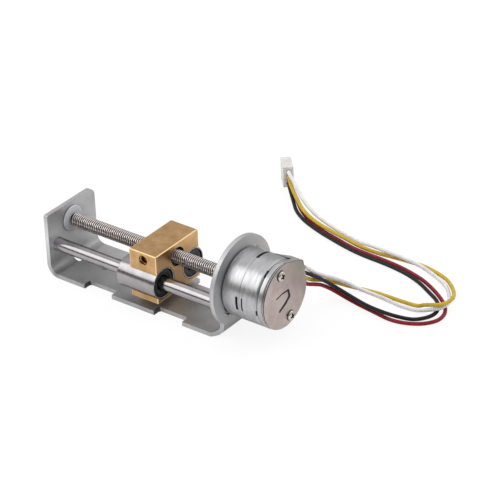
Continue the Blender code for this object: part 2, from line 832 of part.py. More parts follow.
wire_routes = {
    "wire_white": [
        (32.4, 9.9, 11.9), (32.3, 11.6, 10.55), (32.3, 13.33, 8.92), (32.44, 15.77, 7.04),
        (32.79, 18.22, 5.39), (33.22, 20.57, 3.72), (34.43, 22.26, 2.43), (36.93, 22.87, 1.63),
        (40.12, 23.08, 1.31), (43.51, 23.79, 0.61), (47, 23.6, 0.45), (50.4, 23.59, 0.6),
        (52.21, 23.79, 0.96), (54.21, 24.58, 1.44), (55.42, 25.88, 1.47), (55.91, 27.39, 1.49),
        (55.71, 28.99, 1.31), (54.71, 31.09, 0.61), (53.31, 32.99, 0.46), (51.61, 34.89, 0.46),
        (49.21, 36.49, 0.46), (46.11, 37.79, 0.61), (42.4, 38.4, 1.25), (38.4, 38.7, 1.5),
        (33.6, 38.89, 1.55), (29.41, 39.49, 1.31), (25.21, 40.28, 0.61), (20.31, 41.48, 0.47),
        (15.51, 42.39, 0.91), (10.81, 43.69, 1.51), (6.6, 45.7, 2.2), (3.3, 47.8, 3),
        (0.5, 49.8, 3.75), (-1.4, 51.1, 4.15), (-2.63, 52.12, 4.25),
    ],
    "wire_black": [
        (32.4, 9.9, 10.63), (32.6, 10.97, 9.8), (33.01, 12.85, 8.29), (33.4, 15.47, 6.1),
        (34, 17.99, 3.7), (35.69, 19.28, 2.09), (38.72, 19.05, 1.56), (42.28, 18.27, 1.57),
        (46.13, 17.96, 1.6), (49.31, 18.98, 0.98), (52.44, 20.42, 0.59), (54.36, 22.71, 0.51),
        (54.92, 25.18, 0.46), (54.1, 27.6, 0.45), (52.3, 29.6, 0.45), (49.5, 31.3, 0.45),
        (45.6, 33.4, 0.45), (41.8, 34.8, 0.45), (37.71, 35.59, 0.46), (33.53, 35.97, 0.47),
        (29.36, 36.12, 0.51), (25.01, 36.65, 0.56), (20.26, 37.68, 0.61), (15.27, 39.03, 0.63),
        (9.84, 41.12, 0.59), (5.75, 43.7, 0.5), (2.65, 46.73, 0.46), (-0.23, 49.63, 0.77),
        (-1.62, 51.03, 0.98), (-2.63, 52.12, 1.1),
    ],
    "wire_yellow": [
        (32.4, 9.9, 9.36), (32.27, 11.08, 8.45), (32.07, 12.84, 7.23), (31.87, 15.44, 5.77),
        (31.97, 18.04, 4.37), (32.67, 20.64, 2.77), (34.19, 22.91, 1.29), (36.91, 24.48, 0.52),
        (40.82, 25.07, 0.48), (44.82, 25.17, 0.47), (48.32, 25.28, 0.47), (50.51, 25.29, 0.71),
        (52.2, 25.1, 1.6), (54.2, 24.9, 2.45), (55.7, 25.8, 2.5), (56.4, 27.4, 2.5),
        (56.3, 29.5, 2.2), (55.6, 31.3, 2), (54.2, 33.3, 1.7), (52.01, 35.59, 1.2),
        (49.61, 37.59, 0.71), (46.71, 38.88, 0.47), (42.91, 39.68, 0.47), (39.31, 39.68, 0.46),
        (35.23, 39.27, 0.47), (30.86, 38.73, 0.5), (26.5, 38.57, 0.8), (22.35, 38.85, 1.3),
        (18.05, 39.62, 1.42), (13.91, 40.66, 1.47), (10.47, 42.01, 1.52), (7.15, 43.84, 1.69),
        (3.93, 46.26, 2.08), (0.22, 49.27, 2.73), (-2.63, 52.12, 3.2),
    ],
    "wire_red": [
        (32.4, 9.9, 8.09), (32.59, 10.91, 7.28), (32.77, 12.74, 6.37), (32.85, 15.06, 5.05),
        (33.23, 17.26, 3.33), (34.26, 18.95, 1.66), (36.39, 19.61, 0.59), (39.73, 19.06, 0.48),
        (44.07, 18.39, 0.49), (48.31, 17.88, 0.45), (51.79, 18.38, 0.53), (54.86, 20.13, 0.51),
        (56.73, 22.77, 0.48), (56.81, 25.49, 0.46), (55.6, 28, 0.45), (53.5, 30.1, 0.45),
        (50.2, 32.39, 0.45), (46.01, 34.58, 0.46), (41.92, 35.87, 0.47), (37.83, 36.66, 0.48),
        (33.72, 37.07, 0.47), (29.57, 37.24, 0.45), (25.18, 37.65, 0.46), (20.5, 38.73, 0.45),
        (15.64, 39.96, 0.46), (10.94, 41.78, 0.46), (6.77, 44.24, 0.62), (3.36, 47.03, 1.13),
        (0.29, 49.6, 1.69), (-1.48, 51.07, 2), (-2.63, 52.12, 2.15),
    ],
}
wire_colours = {
    "wire_white": (0.75, 0.73, 0.74),
    "wire_black": (0.012, 0.012, 0.014),
    "wire_yellow": (0.78, 0.42, 0.03),
    "wire_red": (0.38, 0.01, 0.03),
}


def connector():
    """Plug lying on its side: four leads enter one end, the contacts sit in the other."""
    heading = math.radians(housing_heading)
    along = Vector((math.cos(heading), math.sin(heading), 0))
    white = plastic("housing_plastic", (0.70, 0.68, 0.68))
    low = (0, -housing_thickness / 2, 0)
    high = (housing_depth, housing_thickness / 2, housing_height)
    housing = box("connector_housing", low, high, white)
    soften(housing, 0.0002)
    heights = [contact_first + contact_pitch * step for step in range(4)]
    for height in heights:
        half = cavity_size / 2
        low = (housing_depth - cavity_depth, -half, height - half)
        high = (housing_depth + sheet, half, height + half)
        cut(housing, box("cavity", low, high, None))
    apply_modifiers(housing)
    gold = material("contact_brass", (0.62, 0.45, 0.18), 0.3, 1.0)
    items = [housing]
    for index, height in enumerate(heights, 1):
        half = contact_size / 2
        low = (housing_depth - cavity_depth + seat_gap, -half, height - half)
        high = (housing_depth - seat_gap, half, height + half)
        items.append(box("connector_contact_%d" % index, low, high, gold))
    base = Vector((*housing_centre, housing_lift))
    for item in items:
        item.rotation_euler = (0, 0, heading)
        item.location = base
    return along


def build():
    clear_scene()
    bracket()
    guide_rods()
    end_bush()
    lead_screw()
    rotor()
    motor_cups()
    motor_bushes()
    stators()
    rear_ring()
    rear_cover()
    cover_screws()
    slider_block()
    linear_bearing("near", -rod_offset)
    linear_bearing("far", rod_offset)
    terminal_block()
    for name, route in wire_routes.items():
        wire(name, route, wire_colours[name])
    connector()


build()
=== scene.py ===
# %% [markdown]
# # A small linear slide
# A can-stack stepper motor turns a fine lead screw. The screw pushes a brass block along two
# polished rods, and a bent steel bracket holds everything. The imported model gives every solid
# and its place. This lesson adds the shapes and finishes that make it look like the real thing.

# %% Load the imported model
import functools
import math

import bmesh
import bpy
from mathutils import Matrix, Vector


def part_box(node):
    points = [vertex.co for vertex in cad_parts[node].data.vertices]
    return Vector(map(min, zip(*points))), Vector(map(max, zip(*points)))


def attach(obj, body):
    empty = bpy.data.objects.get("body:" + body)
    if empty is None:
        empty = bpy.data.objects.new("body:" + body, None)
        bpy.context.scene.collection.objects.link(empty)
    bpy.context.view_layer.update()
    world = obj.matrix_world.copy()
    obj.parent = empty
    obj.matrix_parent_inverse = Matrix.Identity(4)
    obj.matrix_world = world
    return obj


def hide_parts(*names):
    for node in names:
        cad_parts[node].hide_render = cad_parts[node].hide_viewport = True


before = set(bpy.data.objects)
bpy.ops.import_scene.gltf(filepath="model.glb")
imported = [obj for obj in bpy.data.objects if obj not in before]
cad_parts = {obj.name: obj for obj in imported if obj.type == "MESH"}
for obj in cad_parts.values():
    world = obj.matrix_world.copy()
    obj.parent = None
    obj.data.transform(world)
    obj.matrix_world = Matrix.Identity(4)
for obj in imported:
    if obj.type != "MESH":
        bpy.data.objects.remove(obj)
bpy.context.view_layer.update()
MM = 0.001
scene = bpy.context.scene

# %% [markdown]
# ## Camera
# The photograph looks down on the slide from the motor's end. A long lens keeps it nearly
# parallel. The angles come from fitting the rods, the plates and the motor to the picture.
# Three unit vectors, right, top and back, are the columns of the camera's matrix.

# %% Camera
azimuth = math.radians(37.82)
elevation = math.radians(30.81)
roll = math.radians(-2.066)
back = Vector((
    math.sin(azimuth) * math.cos(elevation),
    -math.cos(azimuth) * math.cos(elevation),
    math.sin(elevation),
))
level = Vector((math.cos(azimuth), math.sin(azimuth), 0))
upright = back.cross(level)
right = level * math.cos(roll) + upright * math.sin(roll)
top = upright * math.cos(roll) - level * math.sin(roll)

lens = bpy.data.cameras.new("camera")
lens.lens = 179.44
lens.sensor_width = 36
lens.clip_start = 0.01
camera = bpy.data.objects.new("camera", lens)
scene.collection.objects.link(camera)
camera.matrix_world = Matrix((right, top, back)).transposed().to_4x4()
aim = Vector((-0.0227, 0, 0.00675))
distance, aside, below = 0.5435, 0.03855, 0.00353
camera.location = back * distance + right * aside - top * below + aim
scene.camera = camera
print("camera at", [round(value, 4) for value in camera.location])

# %% [markdown]
# ## Finishes
# Every finish here starts from the same recipe. A broad noise shifts the colour a little, as
# handling and plating do. A fine noise, stretched along the way the part was rolled or turned,
# roughens the gloss and feeds a shallow bump. Real parts differ in three things: the colour,
# the size of the grain and the direction in which it runs. Those are the recipe's arguments.

# %% Helpers for nodes
def fill(tree, socket, value):
    """Links a socket to another node's output, or gives it a plain value."""
    if isinstance(value, bpy.types.NodeSocket):
        tree.links.new(value, socket)
    else:
        socket.default_value = value


def add_node(tree, kind, **inputs):
    """New node with these inputs; an underscore in a name stands for a space."""
    node = tree.nodes.new(kind)
    for name, value in inputs.items():
        fill(tree, node.inputs[name.replace("_", " ")], value)
    return node


def math_node(tree, operation, *values, kind="ShaderNodeMath", result="Value"):
    node = tree.nodes.new(kind)
    node.operation = operation
    for socket, value in zip(node.inputs, values):
        fill(tree, socket, value)
    return node.outputs[result]


# %% Noise and what is read from it
noise_low, noise_high = 0.3, 0.7


def noise(tree, place, stretch, detail=3.0):
    """Noise read from a place; stretch gives the lumps per metre along X, Y and Z."""
    mapping = add_node(tree, "ShaderNodeMapping", Vector=place, Scale=stretch)
    texture = add_node(tree, "ShaderNodeTexNoise", Vector=mapping.outputs["Vector"], Scale=1.0,
                       Detail=detail, Roughness=0.55)
    return texture.outputs["Fac"]


def ramp(tree, value, low, high):
    """Blends from one colour to another as the value goes through the noise's usual range."""
    blend = add_node(tree, "ShaderNodeValToRGB", Fac=value)
    stops = zip(blend.color_ramp.elements, (noise_low, noise_high), (low, high))
    for stop, position, colour in stops:
        stop.position = position
        stop.color = (*colour, 1)
    return blend.outputs["Color"]


def span(tree, value, low, high, start=noise_low, end=noise_high):
    """Turns a value between start and end into one between low and high."""
    scaled = add_node(tree, "ShaderNodeMapRange", Value=value, From_Min=start, From_Max=end,
                      To_Min=low, To_Max=high)
    return scaled.outputs["Result"]


# %% A recipe for finishes
bump_depth = 0.02 * MM


def shader_of(made):
    return made.node_tree.nodes["Principled BSDF"]


def make_finish(name, dark, light, rough, metal=0.0, patches=250, grain=(3000, 3000, 3000),
                relief=0.1):
    """Material whose colour drifts in patches and whose gloss follows a fine grain.

    Patches and grain are lumps per metre; three values stretch them along X, Y and Z.
    """
    made = bpy.data.materials.new(name)
    made.use_nodes = True
    tree = made.node_tree
    shader_of(made).inputs["Metallic"].default_value = metal
    place = tree.nodes.new("ShaderNodeTexCoord").outputs["Object"]
    drift = noise(tree, place, patches if isinstance(patches, tuple) else (patches,) * 3)
    fine = noise(tree, place, grain, detail=4.0)
    bump = add_node(tree, "ShaderNodeBump", Strength=relief, Distance=bump_depth, Height=fine)
    sources = {"Base Color": ramp(tree, drift, dark, light), "Roughness": span(tree, fine, *rough),
               "Normal": bump.outputs["Normal"]}
    for label, source in sources.items():
        tree.links.new(source, shader_of(made).inputs[label])
    return made


# %% Masks and tints
def scaled_place(made, centre, weight):
    """Place from a centre in object coordinates, with each axis multiplied by its weight."""
    tree = made.node_tree
    moved = add_node(tree, "ShaderNodeMapping", Scale=weight,
                     Vector=tree.nodes["Texture Coordinate"].outputs["Object"],
                     Location=[-c * w for c, w in zip(centre, weight)])
    return moved.outputs["Vector"]


def near(made, centre, weight, full, none):
    """Mask that is 1 up to the distance full from a centre and 0 from the distance none."""
    away = math_node(made.node_tree, "LENGTH", scaled_place(made, centre, weight),
                     kind="ShaderNodeVectorMath")
    return span(made.node_tree, away, 1.0, 0.0, full, none)


def tinted(made, mask, colour):
    """Mixes another colour in where the mask is 1."""
    tree = made.node_tree
    base = shader_of(made).inputs["Base Color"]
    mix = tree.nodes.new("ShaderNodeMix")
    mix.data_type = "RGBA"
    for name, value in (("A", base.links[0].from_socket), ("B", (*colour, 1)), ("Factor", mask)):
        fill(tree, mix.inputs[name], value)
    tree.links.new(mix.outputs["Result"], base)


# %% [markdown]
# ## Leads
# Four thin leads with soft plastic sheaths come out of the motor's side, loop over the table
# and end side by side in a small plug. Each is one smooth curve: a Catmull-Rom line through the
# points where the lead was seen, read at close steps, with a round bevel. Where two leads
# cross, one rises over the other.

# %% Lead routes, in millimetres
lead_radius = 0.43 * MM
lead_routes = {
    "wire_white": [
        (32.4, 9.9, 11.9), (32.3, 11.6, 10.55), (32.3, 13.33, 8.92), (32.44, 15.77, 7.04),
        (32.79, 18.22, 5.39), (33.22, 20.57, 3.72), (34.43, 22.26, 2.43), (36.93, 22.87, 1.63),
        (40.12, 23.08, 1.31), (43.51, 23.79, 0.61), (47, 23.6, 0.45), (50.4, 23.59, 0.6),
        (52.21, 23.79, 0.96), (54.21, 24.58, 1.44), (55.42, 25.88, 1.47), (55.91, 27.39, 1.49),
        (55.71, 28.99, 1.31), (54.71, 31.09, 0.61), (53.31, 32.99, 0.46), (51.61, 34.89, 0.46),
        (49.21, 36.49, 0.46), (46.11, 37.79, 0.61), (42.4, 38.4, 1.25), (38.4, 38.7, 1.5),
        (33.6, 38.89, 1.55), (29.41, 39.49, 1.31), (25.21, 40.28, 0.61), (20.31, 41.48, 0.47),
        (15.51, 42.39, 0.91), (10.81, 43.69, 1.51), (6.6, 45.7, 2.2), (3.3, 47.8, 3),
        (0.5, 49.8, 3.75), (-1.4, 51.1, 4.15), (-2.63, 52.12, 4.25),
    ],
    "wire_black": [
        (32.4, 9.9, 10.63), (32.6, 10.97, 9.8), (33.01, 12.85, 8.29), (33.4, 15.47, 6.1),
        (34, 17.99, 3.7), (35.69, 19.28, 2.09), (38.72, 19.05, 1.56), (42.28, 18.27, 1.57),
        (46.13, 17.96, 1.6), (49.31, 18.98, 0.98), (52.44, 20.42, 0.59), (54.36, 22.71, 0.51),
        (54.92, 25.18, 0.46), (54.1, 27.6, 0.45), (52.3, 29.6, 0.45), (49.5, 31.3, 0.45),
        (45.6, 33.4, 0.45), (41.8, 34.8, 0.45), (37.71, 35.59, 0.46), (33.53, 35.97, 0.47),
        (29.36, 36.12, 0.51), (25.01, 36.65, 0.56), (20.26, 37.68, 0.61), (15.27, 39.03, 0.63),
        (9.84, 41.12, 0.59), (5.75, 43.7, 0.5), (2.65, 46.73, 0.46), (-0.23, 49.63, 0.77),
        (-1.62, 51.03, 0.98), (-2.63, 52.12, 1.1),
    ],
    "wire_yellow": [
        (32.4, 9.9, 9.36), (32.27, 11.08, 8.45), (32.07, 12.84, 7.23), (31.87, 15.44, 5.77),
        (31.97, 18.04, 4.37), (32.67, 20.64, 2.77), (34.19, 22.91, 1.29), (36.91, 24.48, 0.52),
        (40.82, 25.07, 0.48), (44.82, 25.17, 0.47), (48.32, 25.28, 0.47), (50.51, 25.29, 0.71),
        (52.2, 25.1, 1.6), (54.2, 24.9, 2.45), (55.7, 25.8, 2.5), (56.4, 27.4, 2.5),
        (56.3, 29.5, 2.2), (55.6, 31.3, 2), (54.2, 33.3, 1.7), (52.01, 35.59, 1.2),
        (49.61, 37.59, 0.71), (46.71, 38.88, 0.47), (42.91, 39.68, 0.47), (39.31, 39.68, 0.46),
        (35.23, 39.27, 0.47), (30.86, 38.73, 0.5), (26.5, 38.57, 0.8), (22.35, 38.85, 1.3),
        (18.05, 39.62, 1.42), (13.91, 40.66, 1.47), (10.47, 42.01, 1.52), (7.15, 43.84, 1.69),
        (3.93, 46.26, 2.08), (0.22, 49.27, 2.73), (-2.63, 52.12, 3.2),
    ],
    "wire_red": [
        (32.4, 9.9, 8.09), (32.59, 10.91, 7.28), (32.77, 12.74, 6.37), (32.85, 15.06, 5.05),
        (33.23, 17.26, 3.33), (34.26, 18.95, 1.66), (36.39, 19.61, 0.59), (39.73, 19.06, 0.48),
        (44.07, 18.39, 0.49), (48.31, 17.88, 0.45), (51.79, 18.38, 0.53), (54.86, 20.13, 0.51),
        (56.73, 22.77, 0.48), (56.81, 25.49, 0.46), (55.6, 28, 0.45), (53.5, 30.1, 0.45),
        (50.2, 32.39, 0.45), (46.01, 34.58, 0.46), (41.92, 35.87, 0.47), (37.83, 36.66, 0.48),
        (33.72, 37.07, 0.47), (29.57, 37.24, 0.45), (25.18, 37.65, 0.46), (20.5, 38.73, 0.45),
        (15.64, 39.96, 0.46), (10.94, 41.78, 0.46), (6.77, 44.24, 0.62), (3.36, 47.03, 1.13),
        (0.29, 49.6, 1.69), (-1.48, 51.07, 2), (-2.63, 52.12, 2.15),
    ],
}

# %% Lead finishes
lead_colours = {
    "wire_white": ((0.74, 0.725, 0.73), (0.86, 0.845, 0.85)),
    "wire_black": ((0.010, 0.009, 0.010), (0.020, 0.018, 0.020)),
    "wire_yellow": ((0.52, 0.36, 0.022), (0.62, 0.45, 0.035)),
    "wire_red": ((0.20, 0.005, 0.015), (0.30, 0.010, 0.026)),
}
lead_finishes = {}
for name, (dark, light) in lead_colours.items():
    sheath = make_finish(name + "_sheath", dark, light, (0.38, 0.55), patches=900,
                         grain=(6000, 6000, 6000), relief=0.15)
    shader_of(sheath).inputs["Specular IOR Level"].default_value = 0.3
    lead_finishes[name] = sheath
print("lead finishes:", sorted(lead_finishes))


# %% Leads as bevelled curves
def smooth_line(points, steps=6):
    """Catmull-Rom line through the points, with this many steps between each two."""
    padded = [2 * points[0] - points[1]] + points + [2 * points[-1] - points[-2]]
    line = []
    for index in range(1, len(padded) - 2):
        before, start, end, after = padded[index - 1:index + 3]
        for step in range(steps):
            t = step / steps
            part = 2 * start + (end - before) * t
            part += (2 * before - 5 * start + 4 * end - after) * t ** 2
            part += (3 * start - before - 3 * end + after) * t ** 3
            line.append(part / 2)
    line.append(points[-1])
    return line


leads = {}
for name, route in lead_routes.items():
    line = smooth_line([Vector(point) * MM for point in route])
    curve = bpy.data.curves.new(name + "_lead", "CURVE")
    curve.dimensions = "3D"
    curve.bevel_depth = lead_radius
    curve.bevel_resolution = 6
    curve.use_fill_caps = True
    spline = curve.splines.new("POLY")
    spline.points.add(len(line) - 1)
    for spot, point in zip(spline.points, line):
        spot.co = (*point, 1)
    curve.materials.append(lead_finishes[name])
    lead = bpy.data.objects.new(name + "_lead", curve)
    scene.collection.objects.link(lead)
    leads[name] = lead

# %% [markdown]
# ## Light and table
# Metal shows whatever surrounds it, so the studio matters as much as the lamps. Its ceiling is
# bright, its walls get darker on the way down, and the wall behind the object is brighter than
# the one in front. A large soft lamp stands behind the viewer's left shoulder. It gives every
# rod, can and broken edge one bright line, and the dark foot of the wall gives the thin dark
# line just below it. The table is white paper. It looks white straight on and takes the
# object's soft shadow. In the metal's reflections it is pale close by and dark farther off,
# as if it ended there.

# %% Studio walls
def shader_mix(tree, share, usual, other):
    """Shows the other shader by its share, and the usual one for the rest."""
    mix = tree.nodes.new("ShaderNodeMixShader")
    for socket, value in zip(mix.inputs, (share, usual, other)):
        tree.links.new(value, socket)
    return mix.outputs["Shader"]


world = bpy.data.worlds.new("studio")
scene.world = world
world.use_nodes = True
sky = world.node_tree
sky.nodes.clear()
back_wall_lift = 0.35
direction = sky.nodes.new("ShaderNodeTexCoord").outputs["Generated"]
height = math_node(sky, "DOT_PRODUCT", direction, (0, back_wall_lift, 1),
                   kind="ShaderNodeVectorMath")
dome = add_node(sky, "ShaderNodeValToRGB", Fac=height)
foot, ceiling = dome.color_ramp.elements
foot.color = (0.16, 0.15, 0.15, 1)
ceiling.color = (1.08, 1.06, 1.07, 1)
for position, shade in ((0.10, 0.15), (0.28, 0.42), (0.45, 0.55), (0.75, 0.57), (0.86, 0.95)):
    dome.color_ramp.elements.new(position).color = (shade * 1.01, shade, shade * 1.01, 1)
ray = sky.nodes.new("ShaderNodeLightPath").outputs
seen = math_node(sky, "MAXIMUM", ray["Is Camera Ray"], ray["Is Transmission Ray"])
walls = add_node(sky, "ShaderNodeBackground", Color=dome.outputs["Color"],
                 Strength=span(sky, ray["Is Diffuse Ray"], 1.0, 1.4, 0, 1))
white = add_node(sky, "ShaderNodeBackground", Color=(1, 1, 1, 1), Strength=1.0)
add_node(sky, "ShaderNodeOutputWorld",
         Surface=shader_mix(sky, seen, walls.outputs["Background"], white.outputs["Background"]))


# %% Soft lamps
def soft_lamp(name, towards, distance, width, brightness):
    """Round lamp that faces the object; brightness 1 looks as bright as white paper."""
    lamp = bpy.data.lights.new(name, "AREA")
    lamp.shape = "DISK"
    lamp.size = width
    lamp.energy = brightness * math.pi * math.pi * (width / 2) ** 2
    holder = bpy.data.objects.new(name, lamp)
    scene.collection.objects.link(holder)
    holder.location = Vector(towards).normalized() * distance + lit_point
    holder.rotation_mode = "QUATERNION"
    holder.rotation_quaternion = Vector(towards).to_track_quat("Z", "Y")


lit_point = Vector((0.01, 0, 0.01))
soft_lamp("main_lamp", (-0.527, -0.575, 0.625), distance=0.6, width=0.53, brightness=1.7)
soft_lamp("edge_lamp", (0.512, 0.678, 0.527), distance=0.7, width=0.3, brightness=1.5)

# %% Table
table_mesh = bpy.data.meshes.new("table")
half = 0.7
corners = [(-half, -half, 0), (half, -half, 0), (half, half, 0), (-half, half, 0)]
table_mesh.from_pydata(corners, [], [(0, 1, 2, 3)])
table = bpy.data.objects.new("table", table_mesh)
scene.collection.objects.link(table)
table.location.z = -0.02 * MM

# %% Table finish
pale_to, dark_from = 0.09, 0.16
paper = bpy.data.materials.new("white_table")
paper.use_nodes = True
sheet = paper.node_tree
sheet.nodes.new("ShaderNodeTexCoord")
matt = {"Base Color": (0.9, 0.9, 0.9, 1), "Roughness": 0.9, "Specular IOR Level": 0.0}
for label, value in matt.items():
    shader_of(paper).inputs[label].default_value = value
ray = sheet.nodes.new("ShaderNodeLightPath").outputs
clear = math_node(sheet, "MAXIMUM", ray["Is Camera Ray"], ray["Is Transmission Ray"])
far = math_node(sheet, "MULTIPLY", near(paper, (0, 0, 0), (1, 1, 1), dark_from, pale_to),
                ray["Is Glossy Ray"])
glow = add_node(sheet, "ShaderNodeEmission", Color=(1, 1, 1, 1),
                Strength=span(sheet, far, 1.03, 0.12, 0, 1))
mirrored = math_node(sheet, "MAXIMUM", span(sheet, far, 0.0, 0.9, 0, 1),
                     span(sheet, ray["Is Glossy Ray"], 0.0, 0.12, 0, 1))
share = math_node(sheet, "MAXIMUM", span(sheet, clear, 0.0, 0.85, 0, 1), mirrored)
surface = shader_mix(sheet, share, shader_of(paper).outputs["BSDF"], glow.outputs["Emission"])
sheet.links.new(surface, sheet.nodes["Material Output"].inputs["Surface"])
table_mesh.materials.append(paper)
scene.view_settings.view_transform = "Standard"

# %% [markdown]
# ## Shapes
# Three helpers cover nearly every part. Turned parts are a closed outline spun about an axis,
# which is how a lathe makes them. Sheet parts are an outline pushed through a thickness, as a
# press punches them. Carving joins and cuts such shapes and then breaks every edge with a
# narrow bevel. No real edge is perfectly sharp, and those bevels catch the light.


# %% From a built shape to an object
def to_object(name, form):
    bmesh.ops.recalc_face_normals(form, faces=form.faces)
    mesh = bpy.data.meshes.new(name)
    form.to_mesh(mesh)
    form.free()
    item = bpy.data.objects.new(name, mesh)
    scene.collection.objects.link(item)
    return item


def smooth(item, angle=40):
    item.data.shade_smooth()
    item.data.set_sharp_from_angle(angle=math.radians(angle))
    return item


# %% Turned shapes
def turned(name, outline, centre=(0, 0), axis="X", segments=96, start=0, sweep=360):
    """Closed outline of (place, radius) spun about an axis; centre is on the other two axes."""
    form = bmesh.new()
    order = {"X": (0, 1, 2), "Y": (1, 0, 2), "Z": (2, 0, 1)}[axis]
    whole = sweep == 360
    last = segments if whole else segments + 1
    turns = [math.radians(start + sweep * step / segments) for step in range(last)]
    rings = []
    for place, radius in outline:
        ring = []
        for turn in turns[:1] if radius == 0 else turns:
            point = [0, 0, 0]
            point[order[0]] = place
            point[order[1]] = centre[0] + radius * math.cos(turn)
            point[order[2]] = centre[1] + radius * math.sin(turn)
            ring.append(form.verts.new(point))
        rings.append(ring)
    for index, ring in enumerate(rings):
        other = rings[(index + 1) % len(rings)]
        if len(ring) == 1 and len(other) == 1:
            continue
        for step in range(segments):
            after = (step + 1) % len(turns)
            if len(ring) == 1:
                form.faces.new((ring[0], other[step], other[after]))
            elif len(other) == 1:
                form.faces.new((ring[step], ring[after], other[0]))
            else:
                form.faces.new((ring[step], ring[after], other[after], other[step]))
    if not whole:
        form.faces.new([ring[0] for ring in rings])
        form.faces.new([ring[-1] for ring in rings])
    return to_object(name, form)


# %% Punched shapes
def punched(name, outline, low, high, axes):
    """Outline pushed between two levels; axes names the outline's two directions."""
    form = bmesh.new()
    third = ({"X", "Y", "Z"} - set(axes)).pop()
    order = {axes[0]: 0, axes[1]: 1, third: 2}

    def place(point, level):
        values = (point[0], point[1], level)
        return [values[order[axis]] for axis in "XYZ"]

    bottom = [form.verts.new(place(point, low)) for point in outline]
    top_ring = [form.verts.new(place(point, high)) for point in outline]
    form.faces.new(bottom)
    form.faces.new(top_ring)
    for index in range(len(outline)):
        after = (index + 1) % len(outline)
        form.faces.new((bottom[index], bottom[after], top_ring[after], top_ring[index]))
    return to_object(name, form)


# %% Outlines
def in_mm(*values):
    """Numbers or points given in millimetres, turned into metres."""
    return tuple(in_mm(*value) if isinstance(value, tuple) else value * MM for value in values)


def arc(centre, radius, start, end, count):
    turns = [math.radians(start + (end - start) * step / count) for step in range(count + 1)]
    return [(centre[0] + radius * math.cos(t), centre[1] + radius * math.sin(t)) for t in turns]


def rounded(outline, radius, steps=4):
    """Outline with its corners rounded; a point's third value overrides the radius."""
    made = []
    count = len(outline)
    for index, point in enumerate(outline):
        own = point[2] if len(point) > 2 else radius
        here = Vector(point[:2])
        before = Vector(outline[index - 1][:2]) - here
        after = Vector(outline[(index + 1) % count][:2]) - here
        if own == 0 or before.length == 0 or after.length == 0:
            made.append(tuple(here))
            continue
        own = min(own, before.length * 0.49, after.length * 0.49)
        start = here + before.normalized() * own
        end = here + after.normalized() * own
        for step in range(steps + 1):
            t = step / steps
            made.append(tuple(start * (1 - t) ** 2 + here * 2 * t * (1 - t) + end * t ** 2))
    return made


# %% Joining and cutting
def frozen(item):
    """Applies the modifiers and leaves a plain mesh."""
    bpy.context.view_layer.update()
    graph = bpy.context.evaluated_depsgraph_get()
    mesh = bpy.data.meshes.new_from_object(item.evaluated_get(graph))
    item.modifiers.clear()
    item.data = mesh
    return item


def combined(item, operation, others):
    for other in others:
        step = item.modifiers.new("carve", "BOOLEAN")
        step.operation = operation
        step.solver = "EXACT"
        step.object = other
    frozen(item)
    for other in others:
        bpy.data.objects.remove(other, do_unlink=True)


# %% Broken edges and carving
def edges_broken(item, width, segments):
    """Rounds the sharp edges; slivers left by the cuts are cleaned first, as they'd stop it."""
    sliver, flat_angle, sharp_angle = 0.003 * MM, math.radians(0.4), math.radians(35)
    form = bmesh.new()
    form.from_mesh(item.data)
    bmesh.ops.remove_doubles(form, verts=form.verts, dist=sliver)
    bmesh.ops.dissolve_limit(form, angle_limit=flat_angle, verts=form.verts, edges=form.edges)
    form.to_mesh(item.data)
    form.free()
    step = item.modifiers.new("edge", "BEVEL")
    step.width = width
    step.segments = segments
    step.limit_method = "ANGLE"
    step.angle_limit = sharp_angle
    step.use_clamp_overlap = True
    frozen(item)


def flat_faces_kept(item):
    """Smooth shading whose normals follow the large faces, so flat stays flat."""
    smooth(item, 50)
    step = item.modifiers.new("normals", "WEIGHTED_NORMAL")
    step.keep_sharp = True
    frozen(item)


def carved(item, cuts=(), joins=(), edge=0.0, segments=2, holes=()):
    """Joins and cuts the shapes, breaks the edges, then makes the holes."""
    combined(item, "UNION", joins)
    combined(item, "DIFFERENCE", cuts)
    if edge:
        edges_broken(item, edge, segments)
    combined(item, "DIFFERENCE", holes)
    flat_faces_kept(item)


# %% Dressing a piece
def paint(item, finish):
    item.data.materials.clear()
    item.data.materials.append(finish)


def dress(item, finish, body, *nodes, slot):
    """Gives a piece its finish, lets it ride on a body and lets it stand for CAD nodes."""
    paint(item, finish)
    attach(item, body)
    if nodes:
        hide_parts(*nodes)


# %% [markdown]
# ## Bracket
# The bracket is one strip of zinc-plated steel, punched flat and bent up at both ends. Its
# motor end is a disc. The side view of the bent strip is pushed across the width, the disc is
# joined, and then the notches, corners and holes are cut, in the same order as in a press.

# %% Bracket sizes
sheet_thickness = 1.0 * MM
half_width = 7.9 * MM
inner_left = -22.7 * MM
inner_right = 22.7 * MM
flange_face = inner_right + sheet_thickness
end_plate_top = 14.9 * MM
far_corner, near_corner = in_mm(2.0, 0.5)
bend_inner = 2.0 * MM
bend_outer = bend_inner + sheet_thickness
notch_centre, notch_half, notch_depth = in_mm(9.55, 3.75, 2.0)
flange_radius = 10.0 * MM
screw_height = 10.8 * MM
rod_height = 6.75 * MM
rod_offset = 5.0 * MM
rod_sides = (("near", -rod_offset), ("far", rod_offset))
motor_axis = (0, screw_height)

# %% Bracket outlines
def strip_side_view():
    left = (inner_left - sheet_thickness + bend_outer, bend_outer)
    right_bend = (flange_face - bend_outer, bend_outer)
    points = [(inner_left - sheet_thickness, end_plate_top)]
    points += arc(left, bend_outer, 180, 270, 16)
    points += arc(right_bend, bend_outer, 270, 360, 16)
    points += [(flange_face, screw_height), (inner_right, screw_height)]
    points += arc(right_bend, bend_inner, 360, 270, 16)
    points += arc(left, bend_inner, 270, 180, 16)
    points.append((inner_left, end_plate_top))
    return points


def spot_at(angle, radius):
    """One point on a circle round the motor's axis."""
    return arc(motor_axis, radius, angle, angle, 1)[0]


